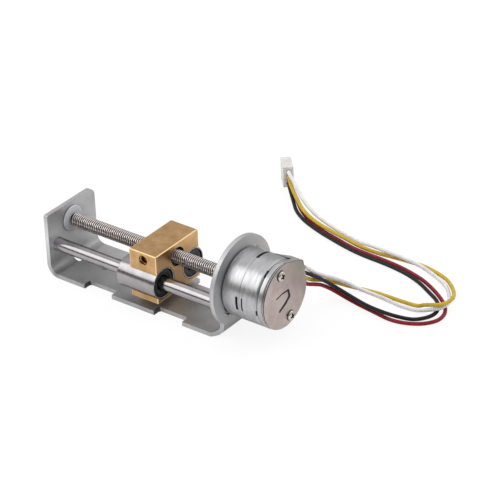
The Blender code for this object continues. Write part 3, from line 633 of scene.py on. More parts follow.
# %% Bracket cutters
def notch(way, side):
    outer = half_width + sheet_thickness
    inner = half_width - notch_depth
    low = way * notch_centre - notch_half
    high = way * notch_centre + notch_half
    outline = [(low, outer, 0), (low, inner), (high, inner), (high, outer, 0)]
    outline = [(x, side * y) for x, y in rounded(outline, 0.7 * MM, 8)]
    return punched("notch", outline, -sheet_thickness, 2 * sheet_thickness, "XY")


def leg_side(side):
    start = flange_face - bend_outer
    inner = half_width - 1.0 * MM
    outer = half_width + sheet_thickness
    end = flange_face + sheet_thickness
    outline = [(start, outer, 0), (start, half_width, 0), (start + 1.4 * MM, inner),
               (end, inner, 0), (end, outer, 0)]
    outline = [(x, side * y) for x, y in rounded(outline, 0.6 * MM, 6)]
    return punched("leg_side", outline, -sheet_thickness, 16 * MM, "XY")


def plate_corner(side, radius):
    middle = (half_width - radius, end_plate_top - radius)
    outline = arc(middle, radius, 0, 90, 12)
    outline += [(middle[0], end_plate_top + MM), (half_width + MM, end_plate_top + MM)]
    outline.append((half_width + MM, middle[1]))
    outline = [(side * y, z) for y, z in outline]
    return punched("plate_corner", outline, inner_left - 2 * MM, inner_left + MM, "YZ")


def drilled(centre, radius, start, end, axis="X", segments=48):
    """Cutter for a straight hole."""
    outline = [(start, 0), (start, radius), (end, radius), (end, 0)]
    return turned("hole", outline, centre, axis, segments)


# %% [markdown]
# The zinc is dull grey with faint patches. A few places get painted light, each as a tint
# through a soft round mask: painted shade at the foot of the bend and on the walls of two
# notches, and painted highlights on the near side of the end plate and on the edge of the disc.

# %% Bracket finish
plated = make_finish("zinc_plated_steel_look", (0.485, 0.49, 0.495), (0.605, 0.61, 0.615),
                     (0.44, 0.60), metal=1.0, patches=220, grain=(900, 4200, 4200), relief=0.16)
# painted shade in the crease at the foot of the bend
bend_foot = (inner_left + 1.25 * MM, 0, sheet_thickness + 0.15 * MM)
tinted(plated, near(plated, bend_foot, (1, 0, 1), 0.4 * MM, 1.2 * MM), (0.35, 0.355, 0.36))
# painted shade on the walls of the two near notches
for spot in in_mm((-13.2, -7, 0.4), (5.9, -7, 0.4)):
    painted_wall_shade = near(plated, spot, (2.5, 0.8, 0.9), 0.8 * MM, 1.1 * MM)
    tinted(plated, painted_wall_shade, (0.10, 0.10, 0.105))
# painted highlight on the near side of the end plate
painted_side_highlight = near(plated, (inner_left, -6.5 * MM, 9 * MM), (1, 1, 1), 1.5 * MM, 6 * MM)
tinted(plated, painted_side_highlight, (0.76, 0.77, 0.78))
# painted highlight along the edge of the disc
disc_place = (flange_face, 0, 14 * MM)
painted_disc_highlight = near(plated, disc_place, (1, 0.09, 0.09), 1.05 * MM, 1.3 * MM)
tinted(plated, math_node(plated.node_tree, "MULTIPLY", painted_disc_highlight, 0.6), (0.68, 0.685, 0.69))

# %% Bracket
bracket = punched("bracket_steel", strip_side_view(), -half_width, half_width, "XZ")
cutters = [notch(way, side) for way in (-1, 1) for side in (-1, 1)]
cutters += [leg_side(side) for side in (-1, 1)]
cutters += [plate_corner(1, far_corner), plate_corner(-1, near_corner)]
combined(bracket, "DIFFERENCE", cutters)
dip = math.degrees(math.asin((screw_height - bend_outer) / flange_radius))
disc = punched("disc", arc(motor_axis, flange_radius, -dip, 180 + dip, 120), inner_right,
               flange_face, "YZ")

# %% Bracket holes
base_hole, rod_hole, bush_hole, motor_hole, stake_hole = in_mm(0.8, 1.53, 1.9, 2.5, 0.8)
holes = [drilled((x, 0), base_hole, -MM, 2 * MM, "Z") for x in in_mm(-13.8, 10.6)]
slot_outline = in_mm((-25, -1, 0), (-20.5, -1), (-20.5, 1), (-25, 1, 0))
holes.append(punched("bend_slot", rounded(slot_outline, 0.4 * MM), -MM, 2 * MM, "XY"))
holes += [drilled((y, rod_height), rod_hole, -25 * MM, 25 * MM) for side, y in rod_sides]
holes.append(drilled(motor_axis, bush_hole, -25 * MM, -20 * MM))
holes.append(drilled(motor_axis, motor_hole, 20 * MM, 25 * MM))
for angle in (45, 225):
    holes.append(drilled(spot_at(angle, 7.1 * MM), stake_hole, 20 * MM, 25 * MM))
carved(bracket, joins=[disc], edge=0.26 * MM, segments=4, holes=holes)
dress(bracket, plated, "frame", "bracket", slot="zinc_plated_steel")
print("bracket faces:", len(bracket.data.polygons))

# %% [markdown]
# ## Rods, bush and bearings
# The rods are ground to a mirror. Each carries a linear bearing: a hard steel sleeve, black
# rubber seals set into its ends and a ball cage behind them. All of these are turned parts.

# %% Finishes for the rods and bearings
mirror_steel = make_finish("ground_rod_steel", (0.37, 0.352, 0.357), (0.43, 0.41, 0.415),
                           (0.15, 0.24), metal=1.0, patches=400, grain=(7000, 700, 700),
                           relief=0.04)
sleeve_steel = make_finish("bearing_sleeve_steel", (0.35, 0.332, 0.337), (0.42, 0.40, 0.405),
                           (0.19, 0.26), metal=1.0, patches=500, grain=(7000, 900, 900),
                           relief=0.01)
seal_rubber = make_finish("black_seal_rubber", (0.008, 0.008, 0.009), (0.018, 0.018, 0.020),
                          (0.26, 0.38), patches=1500, grain=(8000, 8000, 8000), relief=0.15)
shader_of(seal_rubber).inputs["Specular IOR Level"].default_value = 0.3
cage_resin = make_finish("cage_resin", (0.28, 0.23, 0.15), (0.38, 0.32, 0.22), (0.35, 0.5),
                         patches=900, grain=(5000, 5000, 5000))

# %% Rods and end bush
rod_outline = rounded(in_mm((-23.6, 0, 0), (-23.6, 1.5), (23.6, 1.5), (23.6, 0, 0)), 0.25 * MM)
for side, y in rod_sides:
    rod = smooth(turned("ground_rod_" + side, rod_outline, (y, rod_height)))
    dress(rod, mirror_steel, "frame", "guide_rod_" + side, slot="polished_steel")
bush_finish = make_finish("satin_bush", (0.62, 0.63, 0.67), (0.71, 0.72, 0.765), (0.5, 0.65),
                          metal=0.25, patches=600, grain=(6000, 6000, 6000), relief=0.1)
bush_outline = rounded(in_mm((-23.7, 0.9), (-23.7, 1.8), (-22.6, 1.8, 0), (-22.6, 3.0),
                             (-22.2, 2.92), (-22.2, 1.15), (-22.4, 0.9, 0)), 0.1 * MM)
bush = smooth(turned("end_bush_steel", bush_outline, motor_axis))
dress(bush, bush_finish, "frame", "end_bush", slot="zinc_plated_steel")


# %% Bearings
def ring(name, start, end, inner, outer, centre, edge, finish, body, *nodes, slot):
    """Turned ring with rounded edges, already dressed."""
    outline = rounded([(start, inner), (start, outer), (end, outer), (end, inner)], edge)
    dress(smooth(turned(name, outline, centre)), finish, body, *nodes, slot=slot)


bearing_start, bearing_end = in_mm(-3.45, 6.55)
sleeve_radius, sleeve_bore, seat_radius, seat_depth = in_mm(3.5, 2.9, 3.22, 1.15)
seal_profile = ((0.1, 3.18), (0, 2.95), (0, 2.3), (0.12, 2.1), (0.12, 1.8), (0.5, 1.58),
                (0.85, 1.75), (0.85, 3.18))
for side, y in rod_sides:
    centre = (y, rod_height)
    left_seat, right_seat = bearing_start + seat_depth, bearing_end - seat_depth
    outline = [(bearing_start, seat_radius), (bearing_start, sleeve_radius),
               (bearing_end, sleeve_radius), (bearing_end, seat_radius),
               (right_seat, seat_radius), (right_seat, sleeve_bore),
               (left_seat, sleeve_bore), (left_seat, seat_radius)]
    sleeve = smooth(turned(side + "_sleeve", rounded(outline, 0.09 * MM), centre))
    dress(sleeve, sleeve_steel, "carriage", side + "_bearing_shell", slot="polished_steel")
    ring(side + "_cage", bearing_start + 1.2 * MM, bearing_end - 1.2 * MM, 2.2 * MM, 2.8 * MM,
         centre, 0.1 * MM, cage_resin, "carriage", side + "_ball_cage", slot="cage_plastic")
    for end, sign, rim in (("left", 1, bearing_start), ("right", -1, bearing_end)):
        face = rim + sign * 0.25 * MM
        outline = [(face + sign * deep * MM, radius * MM) for deep, radius in seal_profile]
        seal = smooth(turned(side + "_lip_seal_" + end, rounded(outline, 0.06 * MM), centre))
        dress(seal, seal_rubber, "carriage", side + "_seal_" + end, slot="black_rubber")

# %% [markdown]
# ## Lead screw
# A thread is a shape with a rule: its radius rises and falls once per pitch, and the pattern
# turns with the angle. Geometry Nodes can state that rule directly. A flat grid gives the rows
# and columns, and Set Position rolls it into a bar and adds the thread to the radius. The first
# and the last row go to the axis, which closes the ends.


# %% Helpers for geometry trees
def new_tree(name, inputs):
    """Geometry tree with named inputs, the sockets that give them and its output node."""
    tree = bpy.data.node_groups.new(name, "GeometryNodeTree")
    for label, kind, value in inputs:
        socket = tree.interface.new_socket(label, in_out="INPUT", socket_type=kind)
        if value is not None:
            socket.default_value = value
    tree.interface.new_socket("Geometry", in_out="OUTPUT", socket_type="NodeSocketGeometry")
    return tree, tree.nodes.new("NodeGroupInput").outputs, tree.nodes.new("NodeGroupOutput")


def finish_tree(tree, geometry, given, group_out):
    """Ends a tree with Realize Instances and Set Material."""
    real = add_node(tree, "GeometryNodeRealizeInstances", Geometry=geometry)
    painted = add_node(tree, "GeometryNodeSetMaterial", Geometry=real.outputs["Geometry"],
                       Material=given["Finish"])
    tree.links.new(painted.outputs["Geometry"], group_out.inputs["Geometry"])
    return tree


def grown(name, tree, **settings):
    """Plain mesh made by a geometry tree with these inputs."""
    holder = bpy.data.objects.new(name, bpy.data.meshes.new(name))
    scene.collection.objects.link(holder)
    step = holder.modifiers.new("grow", "NODES")
    step.node_group = tree
    for item in tree.interface.items_tree:
        if item.in_out == "INPUT" and item.name in settings:
            step[item.identifier] = settings[item.name]
    return frozen(holder)


# %% Geometry Nodes for a threaded bar
number = "NodeSocketFloat"


def thread_tree():
    tree, given, group_out = new_tree("threaded bar", [
        ("Start", number, 0.0), ("Length", number, 0.01), ("Crest Radius", number, 0.0015),
        ("Thread Depth", number, 0.0002), ("Pitch", number, 0.0005), ("End Taper", number, 0.0003),
        ("Centre Height", number, 0.0), ("Finish", "NodeSocketMaterial", None),
    ])
    calc = functools.partial(math_node, tree)
    rows, columns = 90 * 10 + 3, 49
    grid = add_node(tree, "GeometryNodeMeshGrid", Size_X=1.0, Size_Y=1.0, Vertices_X=rows,
                    Vertices_Y=columns)
    place = tree.nodes.new("GeometryNodeInputPosition").outputs["Position"]
    where = add_node(tree, "ShaderNodeSeparateXYZ", Vector=place).outputs
    row = calc("MULTIPLY", calc("ADD", where["X"], 0.5), rows - 1)
    along = calc("DIVIDE", calc("SUBTRACT", row, 1), rows - 3)
    along = calc("MINIMUM", calc("MAXIMUM", along, 0), 1)
    angle = calc("MULTIPLY", calc("ADD", where["Y"], 0.5), math.tau)
    distance = calc("MULTIPLY", along, given["Length"])
    turns = calc("DIVIDE", distance, given["Pitch"])
    phase = calc("SUBTRACT", turns, calc("DIVIDE", angle, math.tau))
    zigzag = calc("ABSOLUTE", calc("SUBTRACT", calc("FRACT", phase), 0.5))
    crest_half, flank_slope = 0.15, 3.1
    groove = calc("MULTIPLY", calc("SUBTRACT", zigzag, crest_half), flank_slope)
    groove = calc("MINIMUM", calc("MAXIMUM", groove, 0), 1)
    depth = calc("MULTIPLY", groove, given["Thread Depth"])
    radius = calc("SUBTRACT", given["Crest Radius"], depth)
    nearest_end = calc("MINIMUM", distance, calc("SUBTRACT", given["Length"], distance))
    core = calc("SUBTRACT", given["Crest Radius"], given["End Taper"])
    radius = calc("MINIMUM", radius, calc("ADD", core, nearest_end))
    inside = calc("MULTIPLY", calc("GREATER_THAN", row, 0.5), calc("LESS_THAN", row, rows - 1.5))
    radius = calc("MULTIPLY", radius, inside)
    height = calc("MULTIPLY", radius, calc("SINE", angle))
    placed = add_node(tree, "ShaderNodeCombineXYZ", X=calc("ADD", distance, given["Start"]),
                      Y=calc("MULTIPLY", radius, calc("COSINE", angle)),
                      Z=calc("ADD", height, given["Centre Height"]))
    rolled = add_node(tree, "GeometryNodeSetPosition", Geometry=grid.outputs["Mesh"],
                      Position=placed.outputs["Vector"])
    welded = add_node(tree, "GeometryNodeMergeByDistance", Distance=1e-7,
                      Geometry=rolled.outputs["Geometry"])
    return finish_tree(tree, welded.outputs["Geometry"], given, group_out)


# %% Screw finish
rolled_steel = make_finish("rolled_screw_steel", (0.68, 0.62, 0.595), (0.80, 0.74, 0.715),
                           (0.28, 0.34), metal=1.0, patches=900, grain=(2500, 1500, 1500),
                           relief=0.03)
# painted shade in the roots of the thread, where the grooves shade themselves
painted_root_shade = near(rolled_steel, (0, 0, screw_height), (0, 1, 1), 1.37 * MM, 1.45 * MM)
tinted(rolled_steel, painted_root_shade, (0.045, 0.034, 0.028))
shaft_steel = make_finish("screw_journal_steel", (0.26, 0.24, 0.23), (0.36, 0.34, 0.33),
                          (0.2, 0.32), metal=1.0, patches=700, grain=(7000, 900, 900))

# %% Lead screw
thread = grown("screw_thread", thread_tree(), **{
    "Start": -21.9 * MM, "Length": 43.9 * MM, "Crest Radius": 1.5 * MM, "Thread Depth": 0.22 * MM,
    "Pitch": 0.5 * MM, "End Taper": 0.35 * MM, "Centre Height": screw_height,
    "Finish": rolled_steel,
})
form = bmesh.new()
form.from_mesh(thread.data)
bmesh.ops.recalc_face_normals(form, faces=form.faces)
form.to_mesh(thread.data)
form.free()
smooth(thread, 35)
dress(thread, rolled_steel, "screw", "lead_screw", slot="screw_steel")
shaft_outline = in_mm((-23.7, 0), (-23.7, 0.7), (-23.6, 0.8), (-21.8, 0.8), (-21.8, 1.0),
                      (21.9, 1.0), (31.85, 1.0), (31.9, 0.95), (31.9, 0.6), (34.0, 0.6),
                      (34.25, 0.35), (34.3, 0))
shaft = smooth(turned("screw_journals", shaft_outline, motor_axis))
dress(shaft, shaft_steel, "screw", slot="screw_steel")
print("thread faces:", len(thread.data.polygons))

# %% [markdown]
# ## Slider block
# The block is a sawn and milled brass bar. Two large bores hold the bearings and break out
# through its sides, a smaller bore between them is the nut, and a threaded hole in each side
# takes whatever the slide carries. Brass left in the air goes brown in soft patches. Highlights
# are painted along its broken edges, and shade is painted on the end face around the nut and the
# bearings and inside the nut and the side holes.

# %% Brass finish
brass = make_finish("milled_brass", (0.49, 0.29, 0.122), (0.685, 0.435, 0.21), (0.28, 0.33),
                    metal=1.0, patches=420, grain=(900, 4200, 2600), relief=0.022)
thread_brass = make_finish("tapped_brass", (0.48, 0.29, 0.115), (0.68, 0.44, 0.19), (0.28, 0.36),
                           metal=1.0, patches=1800)
low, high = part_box("slider_block")
middle = (low + high) / 2
size = high - low
hole_x = 2.95 * MM
hole_z = high.z - 1.9 * MM

# %% Painted edge highlights, and painted shade on the end face and in the holes
tree = brass.node_tree
calc = functools.partial(math_node, tree)
offset = add_node(tree, "ShaderNodeSeparateXYZ",
                  Vector=scaled_place(brass, middle, (1, 1, 1))).outputs
outer = [span(tree, calc("ABSOLUTE", offset[axis]), 0.0, 1.0, size[index] / 2 - 0.32 * MM,
              size[index] / 2 - 0.12 * MM) for index, axis in enumerate("XYZ")]
pairs = [calc("MINIMUM", outer[a], outer[b]) for a, b in ((0, 1), (1, 2), (0, 2))]
painted_edge_highlight = calc("MAXIMUM", calc("MAXIMUM", pairs[0], pairs[1]), pairs[2])
# painted shade on the right end face around the screw and the bearings
painted_end_shade = near(brass, (high.x, 2.0 * MM, 7.5 * MM), (1, 1, 1), 2.0 * MM, 6.5 * MM)
tinted(brass, calc("MULTIPLY", painted_end_shade, outer[0]), (0.38, 0.225, 0.105))
# painted highlight along the broken edges
tinted(brass, painted_edge_highlight, (0.95, 0.70, 0.36))
within = calc("LESS_THAN", calc("ABSOLUTE", offset["Y"]), size.y / 2 - 0.3 * MM)
# painted shade inside the tapped holes in the sides
painted_hole_shade = near(brass, (hole_x, 0, hole_z), (1, 0, 1), 1.02 * MM, 1.12 * MM)
tinted(brass, calc("MULTIPLY", painted_hole_shade, within), (0.10, 0.055, 0.022))
# painted shade on the wall of the nut bore
painted_nut_shade = near(brass, (0, 0, screw_height), (0, 1, 1), 2.14 * MM, 2.2 * MM)
tinted(brass, painted_nut_shade, (0.05, 0.035, 0.02))

# %% Slider block
block_outline = rounded([(low.y, low.z), (high.y, low.z), (high.y, high.z, 0.6 * MM),
                         (low.y, high.z)], 0.28 * MM, 5)
block = punched("brass_block", block_outline, low.x, high.x, "YZ")
bearing_bore, nut_bore, nut_recess = in_mm(3.6, 1.6, 2.1)
cutters = [drilled((y, rod_height), bearing_bore, low.x - MM, high.x + MM, segments=96)
           for side, y in rod_sides]
nut = [(low.x - MM, 0), (low.x - MM, nut_recess), (low.x + 0.5 * MM, nut_recess),
       (low.x + 0.7 * MM, nut_bore), (high.x - 0.7 * MM, nut_bore),
       (high.x - 0.5 * MM, nut_recess), (high.x, nut_recess), (high.x + MM, nut_recess),
       (high.x + MM, 0)]
cutters.append(turned("nut", nut, motor_axis, "X", 64))
for side, face in ((-1, low.y), (1, high.y)):
    tapped = [(face + side * MM, 0), (face + side * MM, 1.25 * MM), (face, 1.25 * MM),
              (face - side * 0.25 * MM, 1.0 * MM), (face - side * 4.0 * MM, 1.0 * MM),
              (face - side * 4.5 * MM, 0)]
    cutters.append(turned("tapped_hole", tapped, (hole_x, hole_z), "Y", 48))
carved(block, edge=0.28 * MM, segments=5, holes=cutters)
dress(block, brass, "carriage", "slider_block", slot="brass")

# %% [markdown]
# ## Tapped holes
# The internal thread is a ridge that winds down the wall of the hole. A Geometry Nodes tree
# sweeps a small square bar along a spiral, so the pitch, the radius and the depth stay numbers.


# %% Geometry Nodes for an internal thread
def ridge_tree():
    tree, given, group_out = new_tree("internal thread", [
        ("Turns", number, 8.0), ("Radius", number, 0.001), ("Depth", number, 0.004),
        ("Ridge Size", number, 0.0001), ("Place", "NodeSocketVector", None),
        ("Turn", "NodeSocketVector", None), ("Finish", "NodeSocketMaterial", None),
    ])
    spiral = add_node(tree, "GeometryNodeCurveSpiral", Resolution=36, Rotations=given["Turns"],
                      Start_Radius=given["Radius"], End_Radius=given["Radius"],
                      Height=given["Depth"])
    section = add_node(tree, "GeometryNodeCurvePrimitiveCircle", Resolution=4,
                       Radius=given["Ridge Size"])
    swept = add_node(tree, "GeometryNodeCurveToMesh", Curve=spiral.outputs["Curve"],
                     Profile_Curve=section.outputs["Curve"], Fill_Caps=True)
    moved = add_node(tree, "GeometryNodeTransform", Geometry=swept.outputs["Mesh"],
                     Translation=given["Place"], Rotation=given["Turn"])
    return finish_tree(tree, moved.outputs["Geometry"], given, group_out)


# %% Threads in the block's sides
ridge_rule = ridge_tree()
for name, face, turn in (("near", low.y + 0.35 * MM, -90), ("far", high.y - 0.35 * MM, 90)):
    ridge = grown("tapped_thread_" + name, ridge_rule, **{
        "Turns": 8.0, "Radius": 0.98 * MM, "Depth": 3.4 * MM, "Ridge Size": 0.13 * MM,
        "Place": (hole_x, face, hole_z), "Turn": (math.radians(turn), 0.0, 0.0),
        "Finish": thread_brass,
    })
    smooth(ridge, 60)
    dress(ridge, thread_brass, "carriage", slot="brass")

# %% [markdown]
# ## Motor cans
# The motor is two drawn steel cups set mouth to mouth. Drawing and turning leave fine lines
# round the can. Small windows at the seam show where the stator plates are keyed.

# %% Can finish
def round_grain(made, lines, strength):
    """Adds fine lines round the motor's axis, read from the place along X."""
    tree = made.node_tree
    place = tree.nodes["Texture Coordinate"].outputs["Object"]
    fine = noise(tree, place, (lines, 60, 60), detail=5)
    rough = shader_of(made).inputs["Roughness"]
    total = math_node(tree, "ADD", rough.links[0].from_socket,
                      span(tree, fine, -strength, strength))
    tree.links.new(total, rough)


can_steel = make_finish("drawn_can_steel", (0.42, 0.42, 0.425), (0.59, 0.59, 0.60), (0.29, 0.37),
                        metal=1.0, patches=(1900, 420, 420), grain=(4200, 700, 700), relief=0.05)
round_grain(can_steel, lines=7000, strength=0.06)
# near-black film that stands in for the shade seen through the windows and in the cover's seams
shade_film = make_finish("painted_shade_film", (0.012, 0.012, 0.012), (0.02, 0.02, 0.02),
                         (0.55, 0.75))

# %% Can shapes
wall = 0.5 * MM
can_radius = 7.5 * MM
can_bore = 2.5 * MM
split = 28.3 * MM


def sector(x0, x1, r0, r1, start, end):
    """Cutter that takes a piece of the can's wall between two angles."""
    outline = [(x0, r0), (x1, r0), (x1, r1), (x0, r1)]
    return turned("sector", outline, motor_axis, "X", 24, start, end - start)


def window(start, end, first, last, floor=6.8):
    return sector(start * MM, end * MM, floor * MM, 8 * MM, first, last)


def can(name, closed, opened):
    floor = closed + (wall if opened > closed else -wall)
    outline = rounded([
        (closed, can_bore, 0.1 * MM), (closed, can_radius, 0.6 * MM),
        (opened, can_radius, 0.04 * MM), (opened, can_radius - wall, 0.05 * MM),
        (floor, can_radius - wall, 0.3 * MM), (floor, can_bore, 0.05 * MM),
    ], 0.1 * MM, 6)
    return turned(name, outline, motor_axis, "X", 144)


# %% Cans
front_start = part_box("motor_front_cup")[0].x
front_can = can("front_can", front_start, split - 0.02 * MM)
carved(front_can, holes=[window(27.42, 28.0, 171, 196), window(28.05, 28.4, 62, 97)])
dress(front_can, can_steel, "frame", "motor_front_cup", slot="motor_can")
rear_can = can("rear_can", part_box("motor_rear_cup")[1].x, split + 0.02 * MM)
lead_window = in_mm((6, 7.2), (8, 7.2), (8, 12.8), (6, 12.8))
cuts = [
    window(28.85, 29.2, 171, 195), window(28.2, 28.7, 62, 97),
    window(32.52, 33, 113, 127, 6.9), window(32.5, 33, 185, 195, 6.9),
    punched("lead_window", lead_window, 29.6 * MM, 31.8 * MM, "YZ"),
]
carved(rear_can, holes=cuts)
dress(rear_can, can_steel, "frame", "motor_rear_cup", slot="motor_can")

# %% Painted shade: dark film behind the windows
ring("insulation_film", front_start + 0.8 * MM, 29.55 * MM, 6.9 * MM, 6.98 * MM, motor_axis,
     0.02 * MM, shade_film, "frame", slot="housing_plastic")
# dark dabs fill the two small rear windows with painted shade
for first, last in ((114.5, 126.5), (184.5, 194.5)):
    shade_dab = sector(32.53 * MM, 33.0 * MM, 6.92 * MM, 7.25 * MM, first, last)
    dress(shade_dab, shade_film, "frame", slot="housing_plastic")

# %% [markdown]
# ## Rear ring and cover
# A thick ring closes the rear can. On it lies a thin nickel-plated plate with one corner that
# covers the terminals. A U-shaped slit frees a tongue that presses on the end of the shaft.
# Each of these takes the same outline, drawn in a little more or less.

# %% Cover finish
ear_angle = 43.6
nickel = make_finish("cover_nickel", (0.48, 0.405, 0.38), (0.60, 0.52, 0.485), (0.34, 0.46),
                     metal=1.0, patches=420, grain=(5200, 5200, 5200), relief=0.14)
# the cover turns darker and olive towards its ear
olive_ear = near(nickel, (0, *spot_at(ear_angle, 8.2 * MM)), (0, 1, 1), 1.8 * MM, 4.8 * MM)
tinted(nickel, olive_ear, (0.39, 0.38, 0.32))


# %% Outline with an ear, and screw holes
def eared(radius, pull):
    """Disc outline with one squared corner; pull draws the corner in."""
    outline = arc(motor_axis, radius, 83, 378, 150)
    start = Vector(outline[-1])
    corner = Vector(spot_at(ear_angle, 8.18 * MM - pull))
    end = Vector(outline[0])
    straight, curved, steps = 0.93, 0.07, 8
    for step in range(steps + 1):
        t = step / steps
        first = start.lerp(corner, straight + curved * t)
        second = corner.lerp(end, curved * t)
        outline.append(tuple(first.lerp(second, t)))
    return outline


cover_screw_circle = 5.65 * MM
cover_screw_angles = (105, 285)
screw_spots = [spot_at(angle, cover_screw_circle) for angle in cover_screw_angles]


def screw_holes(radius, start=32 * MM):
    return [drilled(spot, radius, start, 36 * MM) for spot in screw_spots]


# %% Ring and cover
ring_low, ring_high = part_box("rear_end_ring")
end_ring = punched("can_end_ring", eared(can_radius, 0.1 * MM), ring_low.x, ring_high.x, "YZ")
cuts = [drilled(motor_axis, 4.0 * MM, 32 * MM, 36 * MM), *screw_holes(0.75 * MM)]
cuts.append(window(32.5, 33.12, 113, 127, 6.9))
carved(end_ring, edge=0.2 * MM, segments=4, holes=cuts)
dress(end_ring, can_steel, "frame", "rear_end_ring", slot="motor_can")

cover_low, cover_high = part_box("rear_cover")
rim_start = cover_low.x + 0.02 * MM
rim_end = cover_low.x + 0.25 * MM
plate_start = cover_high.x - 0.09 * MM
rim = punched("cover_rim", eared(7.45 * MM, 0), rim_start, rim_end, "YZ")
carved(rim, edge=0.07 * MM, holes=screw_holes(0.75 * MM))
dress(rim, can_steel, "frame", slot="nickel_plate")
# painted shade: dark film in the seams between the ring, the rim and the plate
for start, end in ((ring_high.x, rim_start), (rim_end, plate_start)):
    seam_shade = punched("cover_gasket", eared(7.39 * MM, 0.07 * MM), start, end, "YZ")
    carved(seam_shade, edge=0.02 * MM, segments=1, holes=screw_holes(0.75 * MM))
    dress(seam_shade, shade_film, "frame", slot="housing_plastic")

# %% Cover plate and its tongue
cover = punched("cover_plate", eared(7.4 * MM, 0.03 * MM), plate_start, cover_high.x, "YZ")
slit = in_mm((-3.24, 0.80), (-3.12, 0.48), (-1.05, 0.82), (0.70, 0.66), (0.90, -0.54),
             (-0.10, -1.36), (-2.22, -2.44), (-2.42, -2.9), (-2.05, -3.05), (0.30, -2.06),
             (1.56, -1.08), (1.70, -0.7), (1.27, 0.98), (1.02, 1.15), (-1.10, 1.16))
slit = [(y, screw_height + z) for y, z in slit]
holes = [punched("slit", slit, 34 * MM, 36 * MM, "YZ"), *screw_holes(1.22 * MM, 34 * MM)]
carved(cover, edge=0.04 * MM, holes=holes)
dress(cover, nickel, "frame", "rear_cover", slot="nickel_plate")

# %% [markdown]
# ## Cover screws
# Both screws are the same part, so one head is made and Geometry Nodes places the copies on a
# circle. The tree takes the angle of the first copy, the number of copies and the radius.


# %% Geometry Nodes for copies round the motor
def copies_at(tree, points, given, **turn):
    """Puts the given piece on each point."""
    pattern = add_node(tree, "GeometryNodeObjectInfo", Object=given["Piece"])
    copies = add_node(tree, "GeometryNodeInstanceOnPoints", Points=points,
                      Instance=pattern.outputs["Geometry"], **turn)
    return copies.outputs["Instances"]


def circle_tree():
    tree, given, group_out = new_tree("copies round an axis", [
        ("Piece", "NodeSocketObject", None), ("Count", "NodeSocketInt", 2),
        ("Radius", number, 0.005), ("First Angle", number, 0.0),
        ("Place", "NodeSocketVector", None), ("Finish", "NodeSocketMaterial", None),
    ])
    calc = functools.partial(math_node, tree)
    index = tree.nodes.new("GeometryNodeInputIndex").outputs["Index"]
    step = calc("DIVIDE", math.tau, given["Count"])
    angle = calc("ADD", calc("MULTIPLY", index, step), given["First Angle"])
    spot = add_node(tree, "ShaderNodeCombineXYZ",
                    Y=calc("MULTIPLY", calc("COSINE", angle), given["Radius"]),
                    Z=calc("MULTIPLY", calc("SINE", angle), given["Radius"]))
    place = math_node(tree, "ADD", spot.outputs["Vector"], given["Place"],
                      kind="ShaderNodeVectorMath", result="Vector")
    points = add_node(tree, "GeometryNodePoints", Count=given["Count"], Position=place)
    turn = add_node(tree, "ShaderNodeCombineXYZ", X=angle)
    copies = copies_at(tree, points.outputs["Points"], given, Rotation=turn.outputs["Vector"])
    return finish_tree(tree, copies, given, group_out)


# %% Screw head finish
bright_steel = make_finish("screw_head_steel", (0.60, 0.565, 0.51), (0.76, 0.72, 0.66),
                           (0.28, 0.34), metal=1.0, patches=900, grain=(5000, 5000, 5000),
                           relief=0.1)
# painted shade in the cross recess of each head
for spot in screw_spots:
    beside = near(bright_steel, (0, *spot), (0, 1, 1), 0.74 * MM, 0.8 * MM)
    below = near(bright_steel, (cover_high.x - 2.44 * MM, *spot), (1, 1, 1), 3.07 * MM, 3.12 * MM)
    recess = math_node(bright_steel.node_tree, "MULTIPLY", beside, below)
    tinted(bright_steel, recess, (0.018, 0.015, 0.012))

# %% Screw heads
head_outline = in_mm((-1.7, 0), (-1.7, 0.6), (-0.12, 0.6), (-0.12, 1.05), (0.10, 1.1),
                     (0.22, 1.12), (0.36, 1.05), (0.48, 0.86), (0.56, 0.6), (0.6, 0.3), (0.6, 0))
head = turned("screw_pattern", head_outline, (0, 0), "X", 48)
arm, slim = in_mm(0.72, 0.22)
cross = [(slim, slim), (slim, arm), (-slim, arm), (-slim, slim), (-arm, slim), (-arm, -slim),
         (-slim, -slim), (-slim, -arm), (slim, -arm), (slim, -slim), (arm, -slim), (arm, slim)]
carved(head, [punched("cross", cross, 0.05 * MM, 1.0 * MM, "YZ")], edge=0.04 * MM)
screws = grown("cover_screws", circle_tree(), **{
    "Piece": head, "Count": len(screw_spots), "Radius": cover_screw_circle,
    "First Angle": math.radians(cover_screw_angles[0]),
    "Place": (cover_high.x + 0.1 * MM, 0.0, screw_height), "Finish": bright_steel,
})
bpy.data.objects.remove(head, do_unlink=True)
smooth(screws, 45)
dress(screws, bright_steel, "frame", "cover_screw_upper", "cover_screw_lower",
      slot="polished_steel")
print("screw faces:", len(screws.data.polygons))

# %% [markdown]
# ## Bushes and the parts inside the motor
# Sintered bushes carry the shaft at both ends. The coils, the poles and the magnet can only be
# glimpsed through the windows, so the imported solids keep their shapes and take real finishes.

